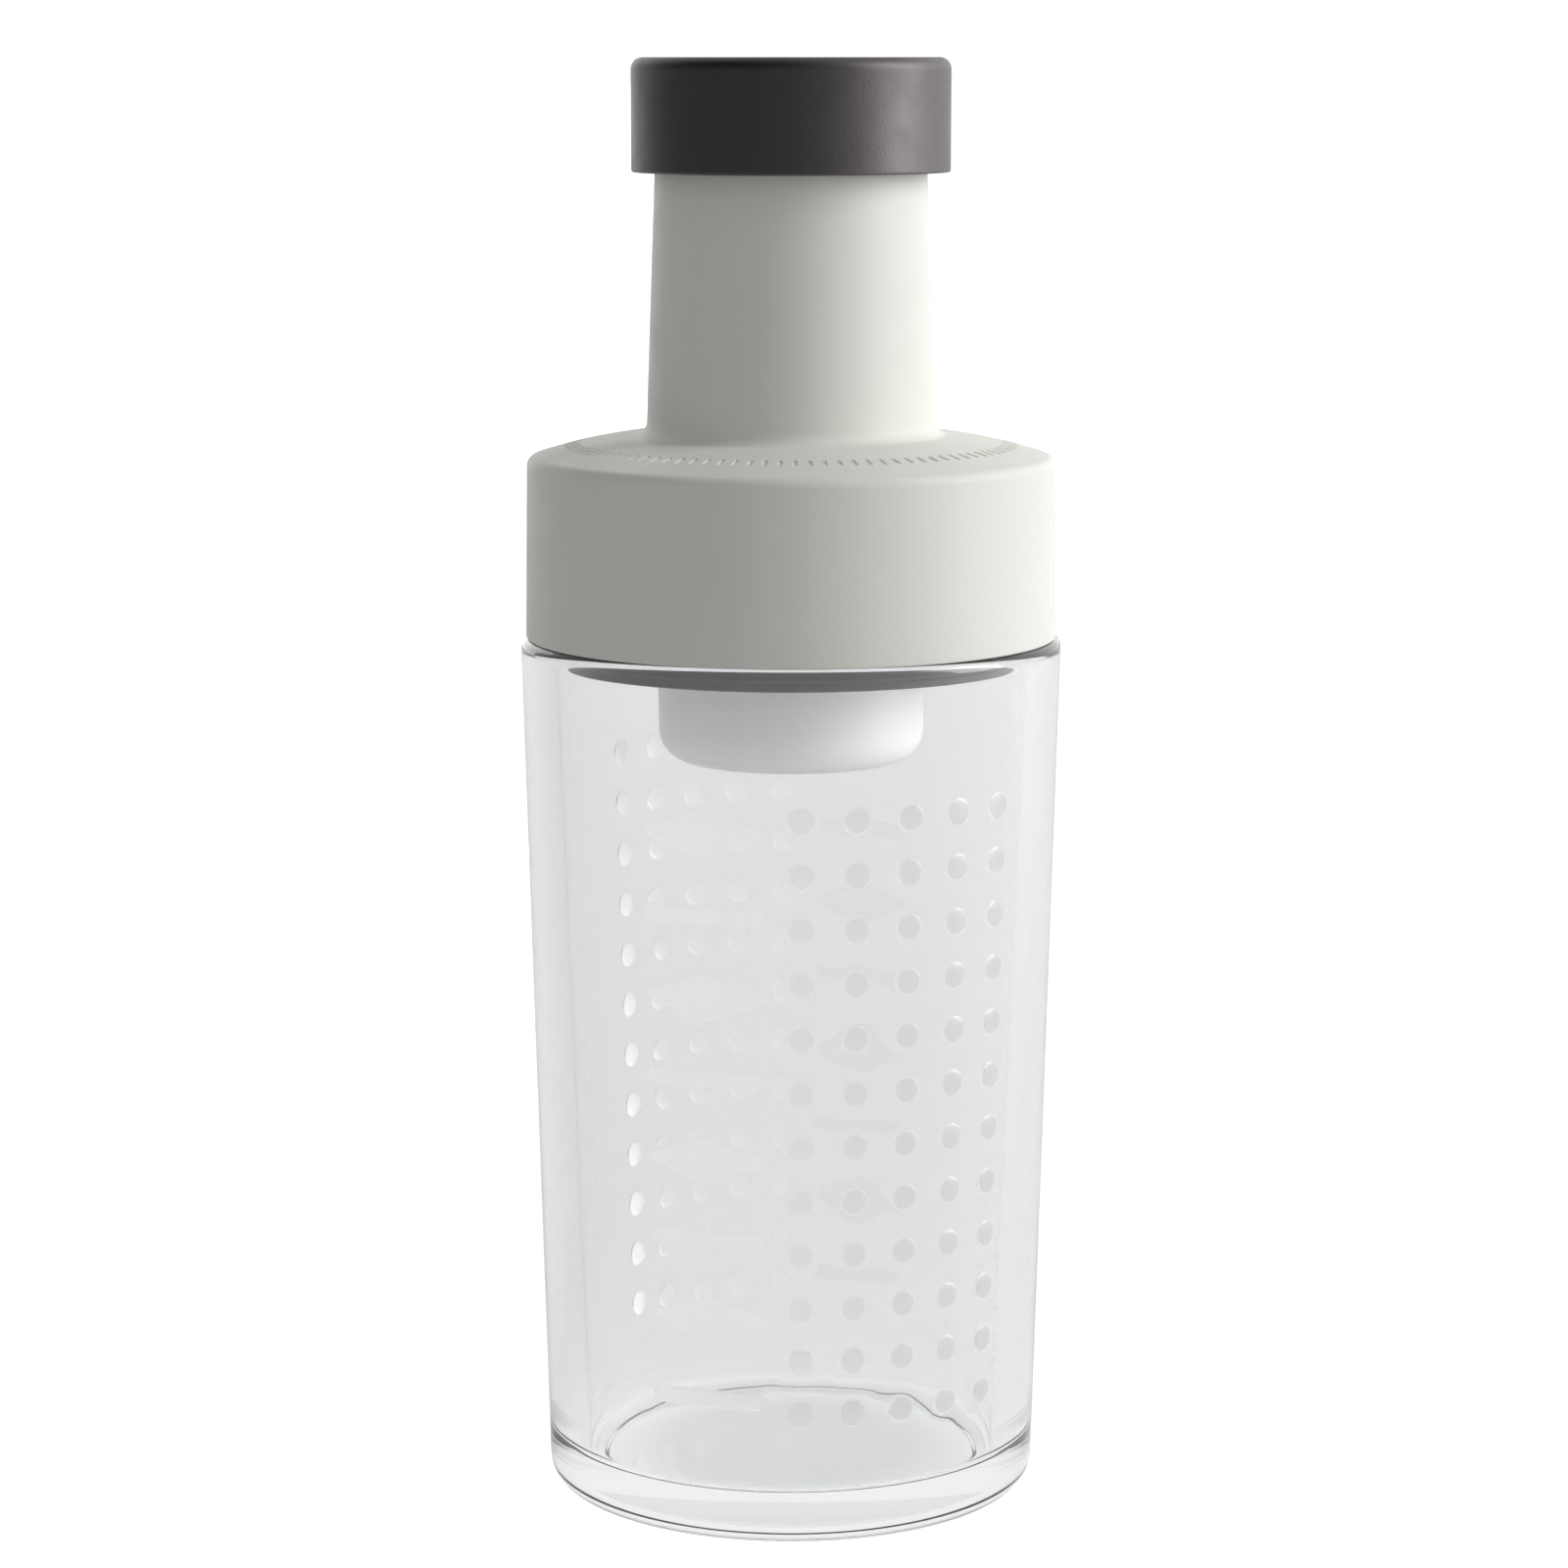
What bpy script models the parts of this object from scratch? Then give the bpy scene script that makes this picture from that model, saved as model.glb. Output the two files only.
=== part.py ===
"""Dosing sugar dispenser: glass jar, push-in lid with a measuring chamber, and a pull-off cap.

Metres, +Z up. The origin is the centre of the foot that the jar stands on, and every piece is
turned about the Z axis. Turned over, sugar runs through the windows of the dosing cup and is
held round the metering tube. Set upright, it drops into the cup as one measured dose, and the
next turn pours that dose through the tube and the neck.
"""

import math

import bmesh
import bpy

# Gap that seated pieces keep, and the gap round a piece that slides or pushes in
SEAT_GAP = 0.0003
SLIDE_GAP = 0.0003

# Jar of pressed glass, standing on a ring round a shallow hollow
JAR_HEIGHT = 0.1127
JAR_TOP_RADIUS = 0.0350
JAR_TAPER = 0.0031
JAR_RIM_WALL = 0.00435
JAR_FOOT_WALL = 0.0050
JAR_FLOOR = 0.0062
JAR_HEEL_ROUND = 0.0030
JAR_INSIDE_ROUND = 0.0050
FOOT_RING_WIDTH = 0.0040
FOOT_HOLLOW_DEPTH = 0.0008

# Lid shell: drum, domed shoulder and tapered neck in one moulding
DRUM_INSET = 0.00072
DRUM_TAPER = 0.00028
DRUM_HEIGHT = 0.0228
DRUM_WALL = 0.0030
DRUM_LIP_WALL = 0.0022
SHOULDER_RISE = 0.0031
SHOULDER_CROWN = 0.0005
SHOULDER_WALL = 0.0022
SHOULDER_EDGE_ROUND = 0.0014
NECK_LENGTH = 0.0335
NECK_WALL = 0.0028
NECK_TAPER = 0.0012
NECK_FOOT_ROUND = 0.0015
LEDGE_WIDTH = 0.0011
MOUTH_WALL = 0.0017
EDGE_ROUND = 0.0004

# Lid plug: flange on the jar's rim, skirt in its bore, and a socket on spokes for the cup
FLANGE_THICKNESS = 0.0020
SKIRT_INSET = 0.00225
SKIRT_WALL = 0.0020
SKIRT_DEPTH = 0.0037
SOCKET_WALL = 0.0016
SOCKET_DEPTH = 0.0030
SPOKES = 4
SPOKE_WIDTH = 0.0016
SPOKE_HEIGHT = 0.0036

# Silicone seal with two lips, in a groove of the skirt
GROOVE_DEPTH = 0.0008
GROOVE_LIP = 0.0006
SEAL_BASE = 0.0013
SEAL_LIP_EDGE = 0.0004
SEAL_LIP_ROOT = 0.0009

# Dosing cup, closed below, with its windows above the socket
CUP_RADIUS = 0.0173
CUP_TAPER = 0.00015
CUP_WALL = 0.0015
CUP_FLOOR = 0.0015
CUP_FOOT_ROUND = 0.0040
CUP_BELOW_LID = 0.0163
WINDOWS = 4
WINDOW_WIDTH = 0.0130
WINDOW_MARGIN = 0.0008

# Metering tube: sleeve pushed up into the neck, disc that closes the chamber, and flared tube
SLEEVE_WALL = 0.0015
SLEEVE_IN_NECK = 0.0040
SLEEVE_IN_CUP = 0.0070
STOP_WIDTH = 0.0018
STOP_THICKNESS = 0.0012
DISC_THICKNESS = 0.0015
TUBE_RADIUS = 0.0088
TUBE_WALL = 0.0013
FLARE_RADIUS = 0.0126
FLARE_HEIGHT = 0.0034
FLARE_EDGE = 0.0007
FLARE_ABOVE_FLOOR = 0.0042

# Cap: outer shell, liner with the plug that closes the mouth, and the plug's sealing ring
CAP_HEIGHT = 0.01445
CAP_WALL = 0.0018
CAP_TOP = 0.0018
CAP_TOP_ROUND = 0.0015
CAP_OVERLAP = 0.0003
LINER_WALL = 0.00168
LINER_TOP = 0.0018
CAP_PLUG_GAP = 0.0008
CAP_PLUG_DEPTH = 0.0052
CAP_PLUG_WALL = 0.0020
CAP_SEAL_HEIGHT = 0.0018
CAP_SEAL_GROOVE = 0.0011
CAP_SEAL_ROUND = 0.0005

# Fineness of the turning and of the roundings
STEPS = 48
ARC_STEP = math.radians(30)
DOME_STEPS = 5
SHARP_ANGLE = math.radians(35)

# Levels that follow from the sizes, counted from the lid's seat on the rim
NECK_BASE_LEVEL = DRUM_HEIGHT + SHOULDER_RISE
SHOULDER_UNDERSIDE = NECK_BASE_LEVEL - SHOULDER_WALL
SLEEVE_TOP_LEVEL = NECK_BASE_LEVEL + SLEEVE_IN_NECK
STOP_LEVEL = SHOULDER_UNDERSIDE - SEAT_GAP - STOP_THICKNESS
CUP_TOP_LEVEL = STOP_LEVEL - SEAT_GAP
SLEEVE_END_LEVEL = CUP_TOP_LEVEL - SLEEVE_IN_CUP
LEDGE_LEVEL = NECK_BASE_LEVEL + NECK_LENGTH
CAP_LEVEL = LEDGE_LEVEL - CAP_OVERLAP

# Levels in the cap, counted from its lower edge
LINER_TOP_LEVEL = CAP_HEIGHT - CAP_TOP - SEAT_GAP
LINER_UNDERSIDE = LINER_TOP_LEVEL - LINER_TOP
CAP_PLUG_END = LINER_UNDERSIDE - CAP_PLUG_DEPTH
CAP_SEAL_LEVEL = (LINER_UNDERSIDE + CAP_PLUG_END) / 2
MOUTH_LEVEL = CAP_LEVEL + LINER_UNDERSIDE - SEAT_GAP

# Radii that fit one piece to the next
JAR_FOOT_RADIUS = JAR_TOP_RADIUS - JAR_TAPER
JAR_BORE_RADIUS = JAR_TOP_RADIUS - JAR_RIM_WALL
DRUM_BOTTOM_RADIUS = JAR_TOP_RADIUS - DRUM_INSET
DRUM_TOP_RADIUS = DRUM_BOTTOM_RADIUS - DRUM_TAPER
SKIRT_RADIUS = JAR_BORE_RADIUS - SKIRT_INSET
FLANGE_SEAT_RADIUS = DRUM_BOTTOM_RADIUS - DRUM_LIP_WALL
GROOVE_RADIUS = SKIRT_RADIUS - GROOVE_DEPTH
SOCKET_RADIUS = CUP_RADIUS + SLIDE_GAP
SLEEVE_RADIUS = CUP_RADIUS - CUP_WALL - SLIDE_GAP
STOP_RADIUS = SLEEVE_RADIUS + STOP_WIDTH
NECK_BORE_RADIUS = SLEEVE_RADIUS + SLIDE_GAP
NECK_BASE_RADIUS = NECK_BORE_RADIUS + NECK_WALL
NECK_TOP_RADIUS = NECK_BASE_RADIUS - NECK_TAPER
COLLAR_RADIUS = NECK_TOP_RADIUS - LEDGE_WIDTH
LINER_BORE_RADIUS = COLLAR_RADIUS + SLIDE_GAP
LINER_RADIUS = LINER_BORE_RADIUS + LINER_WALL
CAP_BORE_RADIUS = LINER_RADIUS + SLIDE_GAP
CAP_RADIUS = CAP_BORE_RADIUS + CAP_WALL
MOUTH_BORE_RADIUS = COLLAR_RADIUS - MOUTH_WALL
CAP_PLUG_RADIUS = MOUTH_BORE_RADIUS - CAP_PLUG_GAP
CAP_GROOVE_RADIUS = CAP_PLUG_RADIUS - CAP_SEAL_GROOVE


def clear_scene():
    """Remove every object, so that the script can run again in the same file."""
    for old in list(bpy.data.objects):
        bpy.data.objects.remove(old, do_unlink=True)


def moulded(name, colour, roughness):
    """Opaque moulded plastic or silicone."""
    material = bpy.data.materials.new(name)
    material.use_nodes = True
    shader = material.node_tree.nodes["Principled BSDF"]
    shader.inputs["Base Color"].default_value = (*colour, 1.0)
    shader.inputs["Roughness"].default_value = roughness
    shader.inputs["Metallic"].default_value = 0.0
    return material


def clear_glass(name):
    """Clear soda-lime glass."""
    material = moulded(name, (0.96, 0.98, 0.97), 0.02)
    shader = material.node_tree.nodes["Principled BSDF"]
    shader.inputs["Transmission Weight"].default_value = 1.0
    shader.inputs["IOR"].default_value = 1.52
    return material


def corner_arc(before, here, after, rounding):
    """Points of the arc that rounds one corner, kept within the two edges beside it."""
    to_before = (before[0] - here[0], before[1] - here[1])
    to_after = (after[0] - here[0], after[1] - here[1])
    length_before = math.hypot(*to_before)
    length_after = math.hypot(*to_after)
    unit_before = (to_before[0] / length_before, to_before[1] / length_before)
    unit_after = (to_after[0] / length_after, to_after[1] / length_after)
    cosine = unit_before[0] * unit_after[0] + unit_before[1] * unit_after[1]
    half_angle = math.acos(max(-1.0, min(1.0, cosine))) / 2
    room = 0.49 * min(length_before, length_after)
    tangent = min(rounding / math.tan(half_angle), room)
    radius = tangent * math.tan(half_angle)
    bisector = (unit_before[0] + unit_after[0], unit_before[1] + unit_after[1])
    reach = radius / math.sin(half_angle) / math.hypot(*bisector)
    centre = (here[0] + bisector[0] * reach, here[1] + bisector[1] * reach)
    start = math.atan2(here[1] + unit_before[1] * tangent - centre[1],
                       here[0] + unit_before[0] * tangent - centre[0])
    end = math.atan2(here[1] + unit_after[1] * tangent - centre[1],
                     here[0] + unit_after[0] * tangent - centre[0])
    sweep = (end - start + math.pi) % math.tau - math.pi
    count = max(2, math.ceil(abs(sweep) / ARC_STEP))
    return [(centre[0] + radius * math.cos(start + sweep * step / count),
             centre[1] + radius * math.sin(start + sweep * step / count))
            for step in range(count + 1)]


def rounded(corners):
    """Points of a profile given as corners of radius, level and rounding."""
    points = []
    for index, (radius, level, rounding) in enumerate(corners):
        here = (radius, level)
        if rounding <= 0.0:
            points.append(here)
            continue
        before = corners[index - 1][:2]
        after = corners[(index + 1) % len(corners)][:2]
        points.extend(corner_arc(before, here, after, rounding))
    return points


def turned(name, corners, collection, material=None):
    """Solid turned about Z from a profile that runs down its outer side and up its inner one."""
    points = rounded(corners)
    edges = [(index, index + 1) for index in range(len(points) - 1)]
    meets_axis = corners[0][0] == 0.0
    if not meets_axis:
        edges.append((len(points) - 1, 0))
    mesh = bpy.data.meshes.new(name)
    mesh.from_pydata([(radius, 0.0, level) for radius, level in points], edges, [])
    solid = bpy.data.objects.new(name, mesh)
    collection.objects.link(solid)
    turn = solid.modifiers.new("turn", "SCREW")
    turn.axis = "Z"
    turn.angle = math.tau
    turn.steps = STEPS
    turn.render_steps = STEPS
    turn.use_merge_vertices = True
    turn.merge_threshold = 0.00001
    turn.use_smooth_shade = True
    if material is not None:
        mesh.materials.append(material)
    return solid


def radial_box(name, reach, levels, width, angle, collection):
    """Box along one radius, from an inner to an outer reach and between two levels."""
    size = (reach[1] - reach[0], width, levels[1] - levels[0])
    centre = ((reach[0] + reach[1]) / 2, 0.0, (levels[0] + levels[1]) / 2)
    mesh = bpy.data.meshes.new(name)
    builder = bmesh.new()
    bmesh.ops.create_cube(builder, size=1.0)
    bmesh.ops.scale(builder, vec=size, verts=builder.verts)
    bmesh.ops.translate(builder, vec=centre, verts=builder.verts)
    builder.to_mesh(mesh)
    builder.free()
    box = bpy.data.objects.new(name, mesh)
    box.rotation_euler = (0.0, 0.0, angle)
    collection.objects.link(box)
    return box


def combine(solid, tool, operation):
    """Join a tool to a solid or cut it out, and leave the tool to be edited."""
    tool.parent = solid
    tool.hide_render = True
    tool.display_type = "WIRE"
    boolean = solid.modifiers.new(tool.name, "BOOLEAN")
    boolean.operation = operation
    boolean.solver = "EXACT"
    boolean.object = tool


def seat(name, level, collection, parent=None):
    """Empty on the axis, at the level where a group of pieces sits."""
    empty = bpy.data.objects.new(name, None)
    empty.empty_display_size = CAP_RADIUS
    empty.location = (0.0, 0.0, level)
    empty.parent = parent
    collection.objects.link(empty)
    return empty


def shoulder_level(radius):
    """Level of the domed shoulder's outer face, between the neck and the drum's edge."""
    share = (radius - NECK_BASE_RADIUS) / (DRUM_TOP_RADIUS - NECK_BASE_RADIUS)
    return NECK_BASE_LEVEL - SHOULDER_RISE * share + 4 * SHOULDER_CROWN * share * (1 - share)


def make_jar(collection, material):
    """Tapered jar with a fully rounded rim, a thick floor and a hollow under the foot."""
    rim_round = JAR_RIM_WALL / 2
    ring_outer = JAR_FOOT_RADIUS - JAR_HEEL_ROUND
    ring_inner = ring_outer - FOOT_RING_WIDTH
    return turned("glass_jar", [
        (0.0, JAR_FLOOR, 0.0),
        (JAR_FOOT_RADIUS - JAR_FOOT_WALL, JAR_FLOOR, JAR_INSIDE_ROUND),
        (JAR_BORE_RADIUS, JAR_HEIGHT, rim_round),
        (JAR_TOP_RADIUS, JAR_HEIGHT, rim_round),
        (JAR_FOOT_RADIUS, 0.0, JAR_HEEL_ROUND),
        (ring_inner, 0.0, 0.0),
        (ring_inner - FOOT_HOLLOW_DEPTH, FOOT_HOLLOW_DEPTH, 0.0),
        (0.0, FOOT_HOLLOW_DEPTH, 0.0),
    ], collection, material)


def make_lid_shell(collection, material):
    """Drum, shoulder and neck, with a ledge and a narrower collar under the cap."""
    dome_step = (DRUM_TOP_RADIUS - NECK_BASE_RADIUS) / DOME_STEPS
    dome = [NECK_BASE_RADIUS + dome_step * step for step in range(1, DOME_STEPS)]
    drum_bore = DRUM_BOTTOM_RADIUS - DRUM_WALL
    flange_ledge = FLANGE_THICKNESS + SEAT_GAP
    outside = [
        (COLLAR_RADIUS, MOUTH_LEVEL, EDGE_ROUND),
        (COLLAR_RADIUS, LEDGE_LEVEL, 0.0),
        (NECK_TOP_RADIUS, LEDGE_LEVEL, 0.0),
        (NECK_BASE_RADIUS, NECK_BASE_LEVEL, NECK_FOOT_ROUND),
        *[(radius, shoulder_level(radius), 0.0) for radius in dome],
        (DRUM_TOP_RADIUS, shoulder_level(DRUM_TOP_RADIUS), SHOULDER_EDGE_ROUND),
        (DRUM_BOTTOM_RADIUS, 0.0, EDGE_ROUND),
    ]
    inside = [
        (FLANGE_SEAT_RADIUS, 0.0, 0.0),
        (FLANGE_SEAT_RADIUS, flange_ledge, 0.0),
        (drum_bore, flange_ledge, 0.0),
        (drum_bore, shoulder_level(drum_bore) - SHOULDER_WALL, SHOULDER_EDGE_ROUND),
        (STOP_RADIUS + SLIDE_GAP, SHOULDER_UNDERSIDE, 0.0),
        (NECK_BORE_RADIUS, SHOULDER_UNDERSIDE, 0.0),
        (NECK_BORE_RADIUS, SLEEVE_TOP_LEVEL, 0.0),
        (MOUTH_BORE_RADIUS, MOUTH_LEVEL, 0.0),
    ]
    return turned("lid_shell", outside + inside, collection, material)


def make_lid_plug(collection, cutters, material):
    """Flange and grooved skirt, with the cup's socket carried on spokes between open windows."""
    skirt_bore = SKIRT_RADIUS - SKIRT_WALL
    flange_radius = FLANGE_SEAT_RADIUS - SLIDE_GAP
    groove_end = GROOVE_LIP - SKIRT_DEPTH
    plug = turned("lid_plug", [
        (flange_radius, FLANGE_THICKNESS, 0.0),
        (flange_radius, 0.0, 0.0),
        (GROOVE_RADIUS, 0.0, 0.0),
        (GROOVE_RADIUS, groove_end, 0.0),
        (SKIRT_RADIUS, groove_end, 0.0),
        (SKIRT_RADIUS, -SKIRT_DEPTH, 0.0),
        (skirt_bore, -SKIRT_DEPTH, 0.0),
        (skirt_bore, FLANGE_THICKNESS, 0.0),
    ], collection, material)
    socket = turned("socket_ring", [
        (SOCKET_RADIUS + SOCKET_WALL, FLANGE_THICKNESS, 0.0),
        (SOCKET_RADIUS + SOCKET_WALL, -SOCKET_DEPTH, 0.0),
        (SOCKET_RADIUS, -SOCKET_DEPTH, 0.0),
        (SOCKET_RADIUS, FLANGE_THICKNESS, 0.0),
    ], cutters)
    reach = (SOCKET_RADIUS + SOCKET_WALL / 2, (skirt_bore + GROOVE_RADIUS) / 2)
    middle = (FLANGE_THICKNESS - SOCKET_DEPTH) / 2
    levels = (middle - SPOKE_HEIGHT / 2, middle + SPOKE_HEIGHT / 2)
    for index in range(SPOKES):
        angle = math.tau * (index + 0.5) / SPOKES
        spoke = radial_box(f"spoke_{index + 1}", reach, levels, SPOKE_WIDTH, angle, cutters)
        combine(plug, spoke, "UNION")
    combine(plug, socket, "UNION")
    return plug


def make_lid_seal(collection, material):
    """Soft ring in the skirt's groove, with two lips that wipe the jar's bore."""
    inner = GROOVE_RADIUS + SLIDE_GAP
    outer = inner + SEAL_BASE
    tip = JAR_BORE_RADIUS - SLIDE_GAP
    top = -SEAT_GAP
    bottom = GROOVE_LIP - SKIRT_DEPTH + SEAT_GAP
    corners = [(inner, top, 0.0), (outer, top, 0.0)]
    for lip in ((top * 3 + bottom) / 4, (top + bottom * 3) / 4):
        corners += [
            (outer, lip + SEAL_LIP_ROOT / 2, 0.0),
            (tip, lip + SEAL_LIP_EDGE / 2, 0.0),
            (tip, lip - SEAL_LIP_EDGE / 2, 0.0),
            (outer, lip - SEAL_LIP_ROOT / 2, 0.0),
        ]
    corners += [(outer, bottom, 0.0), (inner, bottom, 0.0)]
    return turned("lid_seal", corners, collection, material)


def make_dosing_cup(collection, cutters, material):
    """Closed cup whose open top slides over the sleeve, with windows between the posts."""
    foot = CUP_RADIUS - CUP_TAPER
    foot_bore = foot - CUP_WALL
    bore = CUP_RADIUS - CUP_WALL
    cup = turned("dosing_cup", [
        (0.0, CUP_FLOOR - CUP_BELOW_LID, 0.0),
        (foot_bore, CUP_FLOOR - CUP_BELOW_LID, CUP_FOOT_ROUND - CUP_WALL),
        (bore, -SOCKET_DEPTH, 0.0),
        (bore, CUP_TOP_LEVEL, 0.0),
        (CUP_RADIUS, CUP_TOP_LEVEL, 0.0),
        (CUP_RADIUS, -SOCKET_DEPTH, 0.0),
        (foot, -CUP_BELOW_LID, CUP_FOOT_ROUND),
        (0.0, -CUP_BELOW_LID, 0.0),
    ], collection, material)
    reach = (bore / 2, CUP_RADIUS + CUP_WALL)
    levels = (FLANGE_THICKNESS + WINDOW_MARGIN, SLEEVE_END_LEVEL - WINDOW_MARGIN)
    for index in range(WINDOWS):
        angle = math.tau * index / WINDOWS
        window = radial_box(f"window_{index + 1}", reach, levels, WINDOW_WIDTH, angle, cutters)
        combine(cup, window, "DIFFERENCE")
    return cup


def make_metering_tube(collection, material):
    """Sleeve between neck and cup, closed by a disc round the flared tube that reaches into the cup."""
    sleeve_bore = SLEEVE_RADIUS - SLEEVE_WALL
    bore = TUBE_RADIUS - TUBE_WALL
    end = CUP_FLOOR - CUP_BELOW_LID + FLARE_ABOVE_FLOOR
    disc_level = NECK_BASE_LEVEL - DISC_THICKNESS
    return turned("metering_tube", [
        (SLEEVE_RADIUS, SLEEVE_TOP_LEVEL, 0.0),
        (SLEEVE_RADIUS, STOP_LEVEL + STOP_THICKNESS, 0.0),
        (STOP_RADIUS, STOP_LEVEL + STOP_THICKNESS, 0.0),
        (STOP_RADIUS, STOP_LEVEL, 0.0),
        (SLEEVE_RADIUS, STOP_LEVEL, 0.0),
        (SLEEVE_RADIUS, SLEEVE_END_LEVEL, 0.0),
        (sleeve_bore, SLEEVE_END_LEVEL, 0.0),
        (sleeve_bore, disc_level, 0.0),
        (TUBE_RADIUS, disc_level, 0.0),
        (TUBE_RADIUS, end + FLARE_HEIGHT, 0.0),
        (FLARE_RADIUS, end + FLARE_EDGE, 0.0),
        (FLARE_RADIUS, end, 0.0),
        (FLARE_RADIUS - TUBE_WALL, end, 0.0),
        (bore, end + FLARE_HEIGHT, 0.0),
        (bore, NECK_BASE_LEVEL, 0.0),
        (sleeve_bore, NECK_BASE_LEVEL, 0.0),
        (sleeve_bore, SLEEVE_TOP_LEVEL, 0.0),
    ], collection, material)


def make_cap_shell(collection, material):
    """Dark cover of the cap, wider than the neck."""
    return turned("cap_shell", [
        (0.0, CAP_HEIGHT, 0.0),
        (CAP_RADIUS, CAP_HEIGHT, CAP_TOP_ROUND),
        (CAP_RADIUS, 0.0, 0.0),
        (CAP_BORE_RADIUS, 0.0, 0.0),
        (CAP_BORE_RADIUS, CAP_HEIGHT - CAP_TOP, 0.0),
        (0.0, CAP_HEIGHT - CAP_TOP, 0.0),
    ], collection, material)


def make_cap_liner(collection, material):
    """Liner that stands on the neck's ledge, with the grooved plug that closes the mouth."""
    foot = CAP_OVERLAP + SEAT_GAP
    groove_half = CAP_SEAL_HEIGHT / 2 + SEAT_GAP
    plug_bore = CAP_PLUG_RADIUS - CAP_PLUG_WALL
    return turned("cap_liner", [
        (0.0, LINER_TOP_LEVEL, 0.0),
        (LINER_RADIUS, LINER_TOP_LEVEL, 0.0),
        (LINER_RADIUS, foot, 0.0),
        (LINER_BORE_RADIUS, foot, 0.0),
        (LINER_BORE_RADIUS, LINER_UNDERSIDE, 0.0),
        (CAP_PLUG_RADIUS, LINER_UNDERSIDE, 0.0),
        (CAP_PLUG_RADIUS, CAP_SEAL_LEVEL + groove_half, 0.0),
        (CAP_GROOVE_RADIUS, CAP_SEAL_LEVEL + groove_half, 0.0),
        (CAP_GROOVE_RADIUS, CAP_SEAL_LEVEL - groove_half, 0.0),
        (CAP_PLUG_RADIUS, CAP_SEAL_LEVEL - groove_half, 0.0),
        (CAP_PLUG_RADIUS, CAP_PLUG_END, 0.0),
        (plug_bore, CAP_PLUG_END, 0.0),
        (plug_bore, LINER_UNDERSIDE, 0.0),
        (0.0, LINER_UNDERSIDE, 0.0),
    ], collection, material)


def make_cap_seal(collection, material):
    """Soft ring in the plug's groove, against the bore of the mouth."""
    inner = CAP_GROOVE_RADIUS + SLIDE_GAP
    outer = MOUTH_BORE_RADIUS - SLIDE_GAP
    top = CAP_SEAL_LEVEL + CAP_SEAL_HEIGHT / 2
    bottom = CAP_SEAL_LEVEL - CAP_SEAL_HEIGHT / 2
    return turned("cap_seal", [
        (inner, top, 0.0),
        (outer, top, CAP_SEAL_ROUND),
        (outer, bottom, CAP_SEAL_ROUND),
        (inner, bottom, 0.0),
    ], collection, material)


def build():
    """Make every piece and hang each group on the seat that it lifts from."""
    clear_scene()
    parts = bpy.data.collections.new("sugar_dispenser")
    cutters = bpy.data.collections.new("cutters")
    bpy.context.scene.collection.children.link(parts)
    bpy.context.scene.collection.children.link(cutters)

    white = (0.80, 0.80, 0.77)
    dark = (0.040, 0.036, 0.037)
    grey = (0.16, 0.16, 0.16)

    jar_seat = seat("jar_seat", 0.0, parts)
    lid_seat = seat("lid_seat", JAR_HEIGHT + SEAT_GAP, parts, jar_seat)
    cup_seat = seat("cup_seat", 0.0, parts, lid_seat)
    cap_seat = seat("cap_seat", CAP_LEVEL, parts, lid_seat)

    groups = {
        jar_seat: [make_jar(parts, clear_glass("jar_glass"))],
        lid_seat: [
            make_lid_shell(parts, moulded("lid_white", white, 0.38)),
            make_lid_plug(parts, cutters, moulded("plug_white", white, 0.42)),
            make_lid_seal(parts, moulded("seal_silicone", grey, 0.55)),
            make_metering_tube(parts, moulded("tube_white", white, 0.42)),
        ],
        cup_seat: [make_dosing_cup(parts, cutters, moulded("cup_white", white, 0.40))],
        cap_seat: [
            make_cap_shell(parts, moulded("cap_dark", dark, 0.42)),
            make_cap_liner(parts, moulded("liner_dark", dark, 0.46)),
            make_cap_seal(parts, moulded("ring_silicone", grey, 0.55)),
        ],
    }
    for group_seat, solids in groups.items():
        for solid in solids:
            solid.parent = group_seat
            solid.data.shade_smooth()
            solid.data.set_sharp_from_angle(angle=SHARP_ANGLE)


build()
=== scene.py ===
"""Dosing sugar dispenser of pressed glass and satin plastic, dressed for its photograph."""

import math

import bpy
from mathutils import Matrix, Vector


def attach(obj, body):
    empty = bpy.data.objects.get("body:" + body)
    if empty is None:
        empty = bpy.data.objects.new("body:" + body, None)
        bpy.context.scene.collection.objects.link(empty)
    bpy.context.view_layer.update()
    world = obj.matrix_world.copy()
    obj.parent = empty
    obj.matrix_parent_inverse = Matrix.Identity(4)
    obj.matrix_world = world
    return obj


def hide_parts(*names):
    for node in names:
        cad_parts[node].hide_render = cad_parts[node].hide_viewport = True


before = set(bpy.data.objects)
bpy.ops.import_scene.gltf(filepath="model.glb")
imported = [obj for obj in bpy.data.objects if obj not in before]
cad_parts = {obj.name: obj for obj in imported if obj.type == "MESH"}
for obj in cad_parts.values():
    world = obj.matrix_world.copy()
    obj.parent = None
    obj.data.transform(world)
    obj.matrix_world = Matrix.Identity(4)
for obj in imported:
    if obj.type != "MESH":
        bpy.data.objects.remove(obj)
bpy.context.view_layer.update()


# Jar: one thick piece of colourless pressed glass, fire-polished, with a rounded rim and a heavy floor. It
# tapers to the foot, which stands on a flat ring round a shallow hollow. The mould leaves a low satin relief
# outside, alike at front and back: an upright band of bars and lozenges, and five columns of dots beside it.

JAR_HEIGHT = 0.1127
JAR_TOP_RADIUS = 0.0350
JAR_FOOT_RADIUS = 0.0319
JAR_BORE_RADIUS = 0.03065
JAR_FLOOR_RADIUS = 0.0269
JAR_FLOOR_LEVEL = 0.0062
RIM_ROUND_OUTSIDE = 0.0013
RIM_ROUND_INSIDE = 0.0021
HEEL_ROUND = 0.0042
FLOOR_ROUND = 0.0015
FOOT_RING_INNER = 0.0249
FOOT_RING_ROUND = 0.0003
FOOT_HOLLOW = 0.0003

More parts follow.
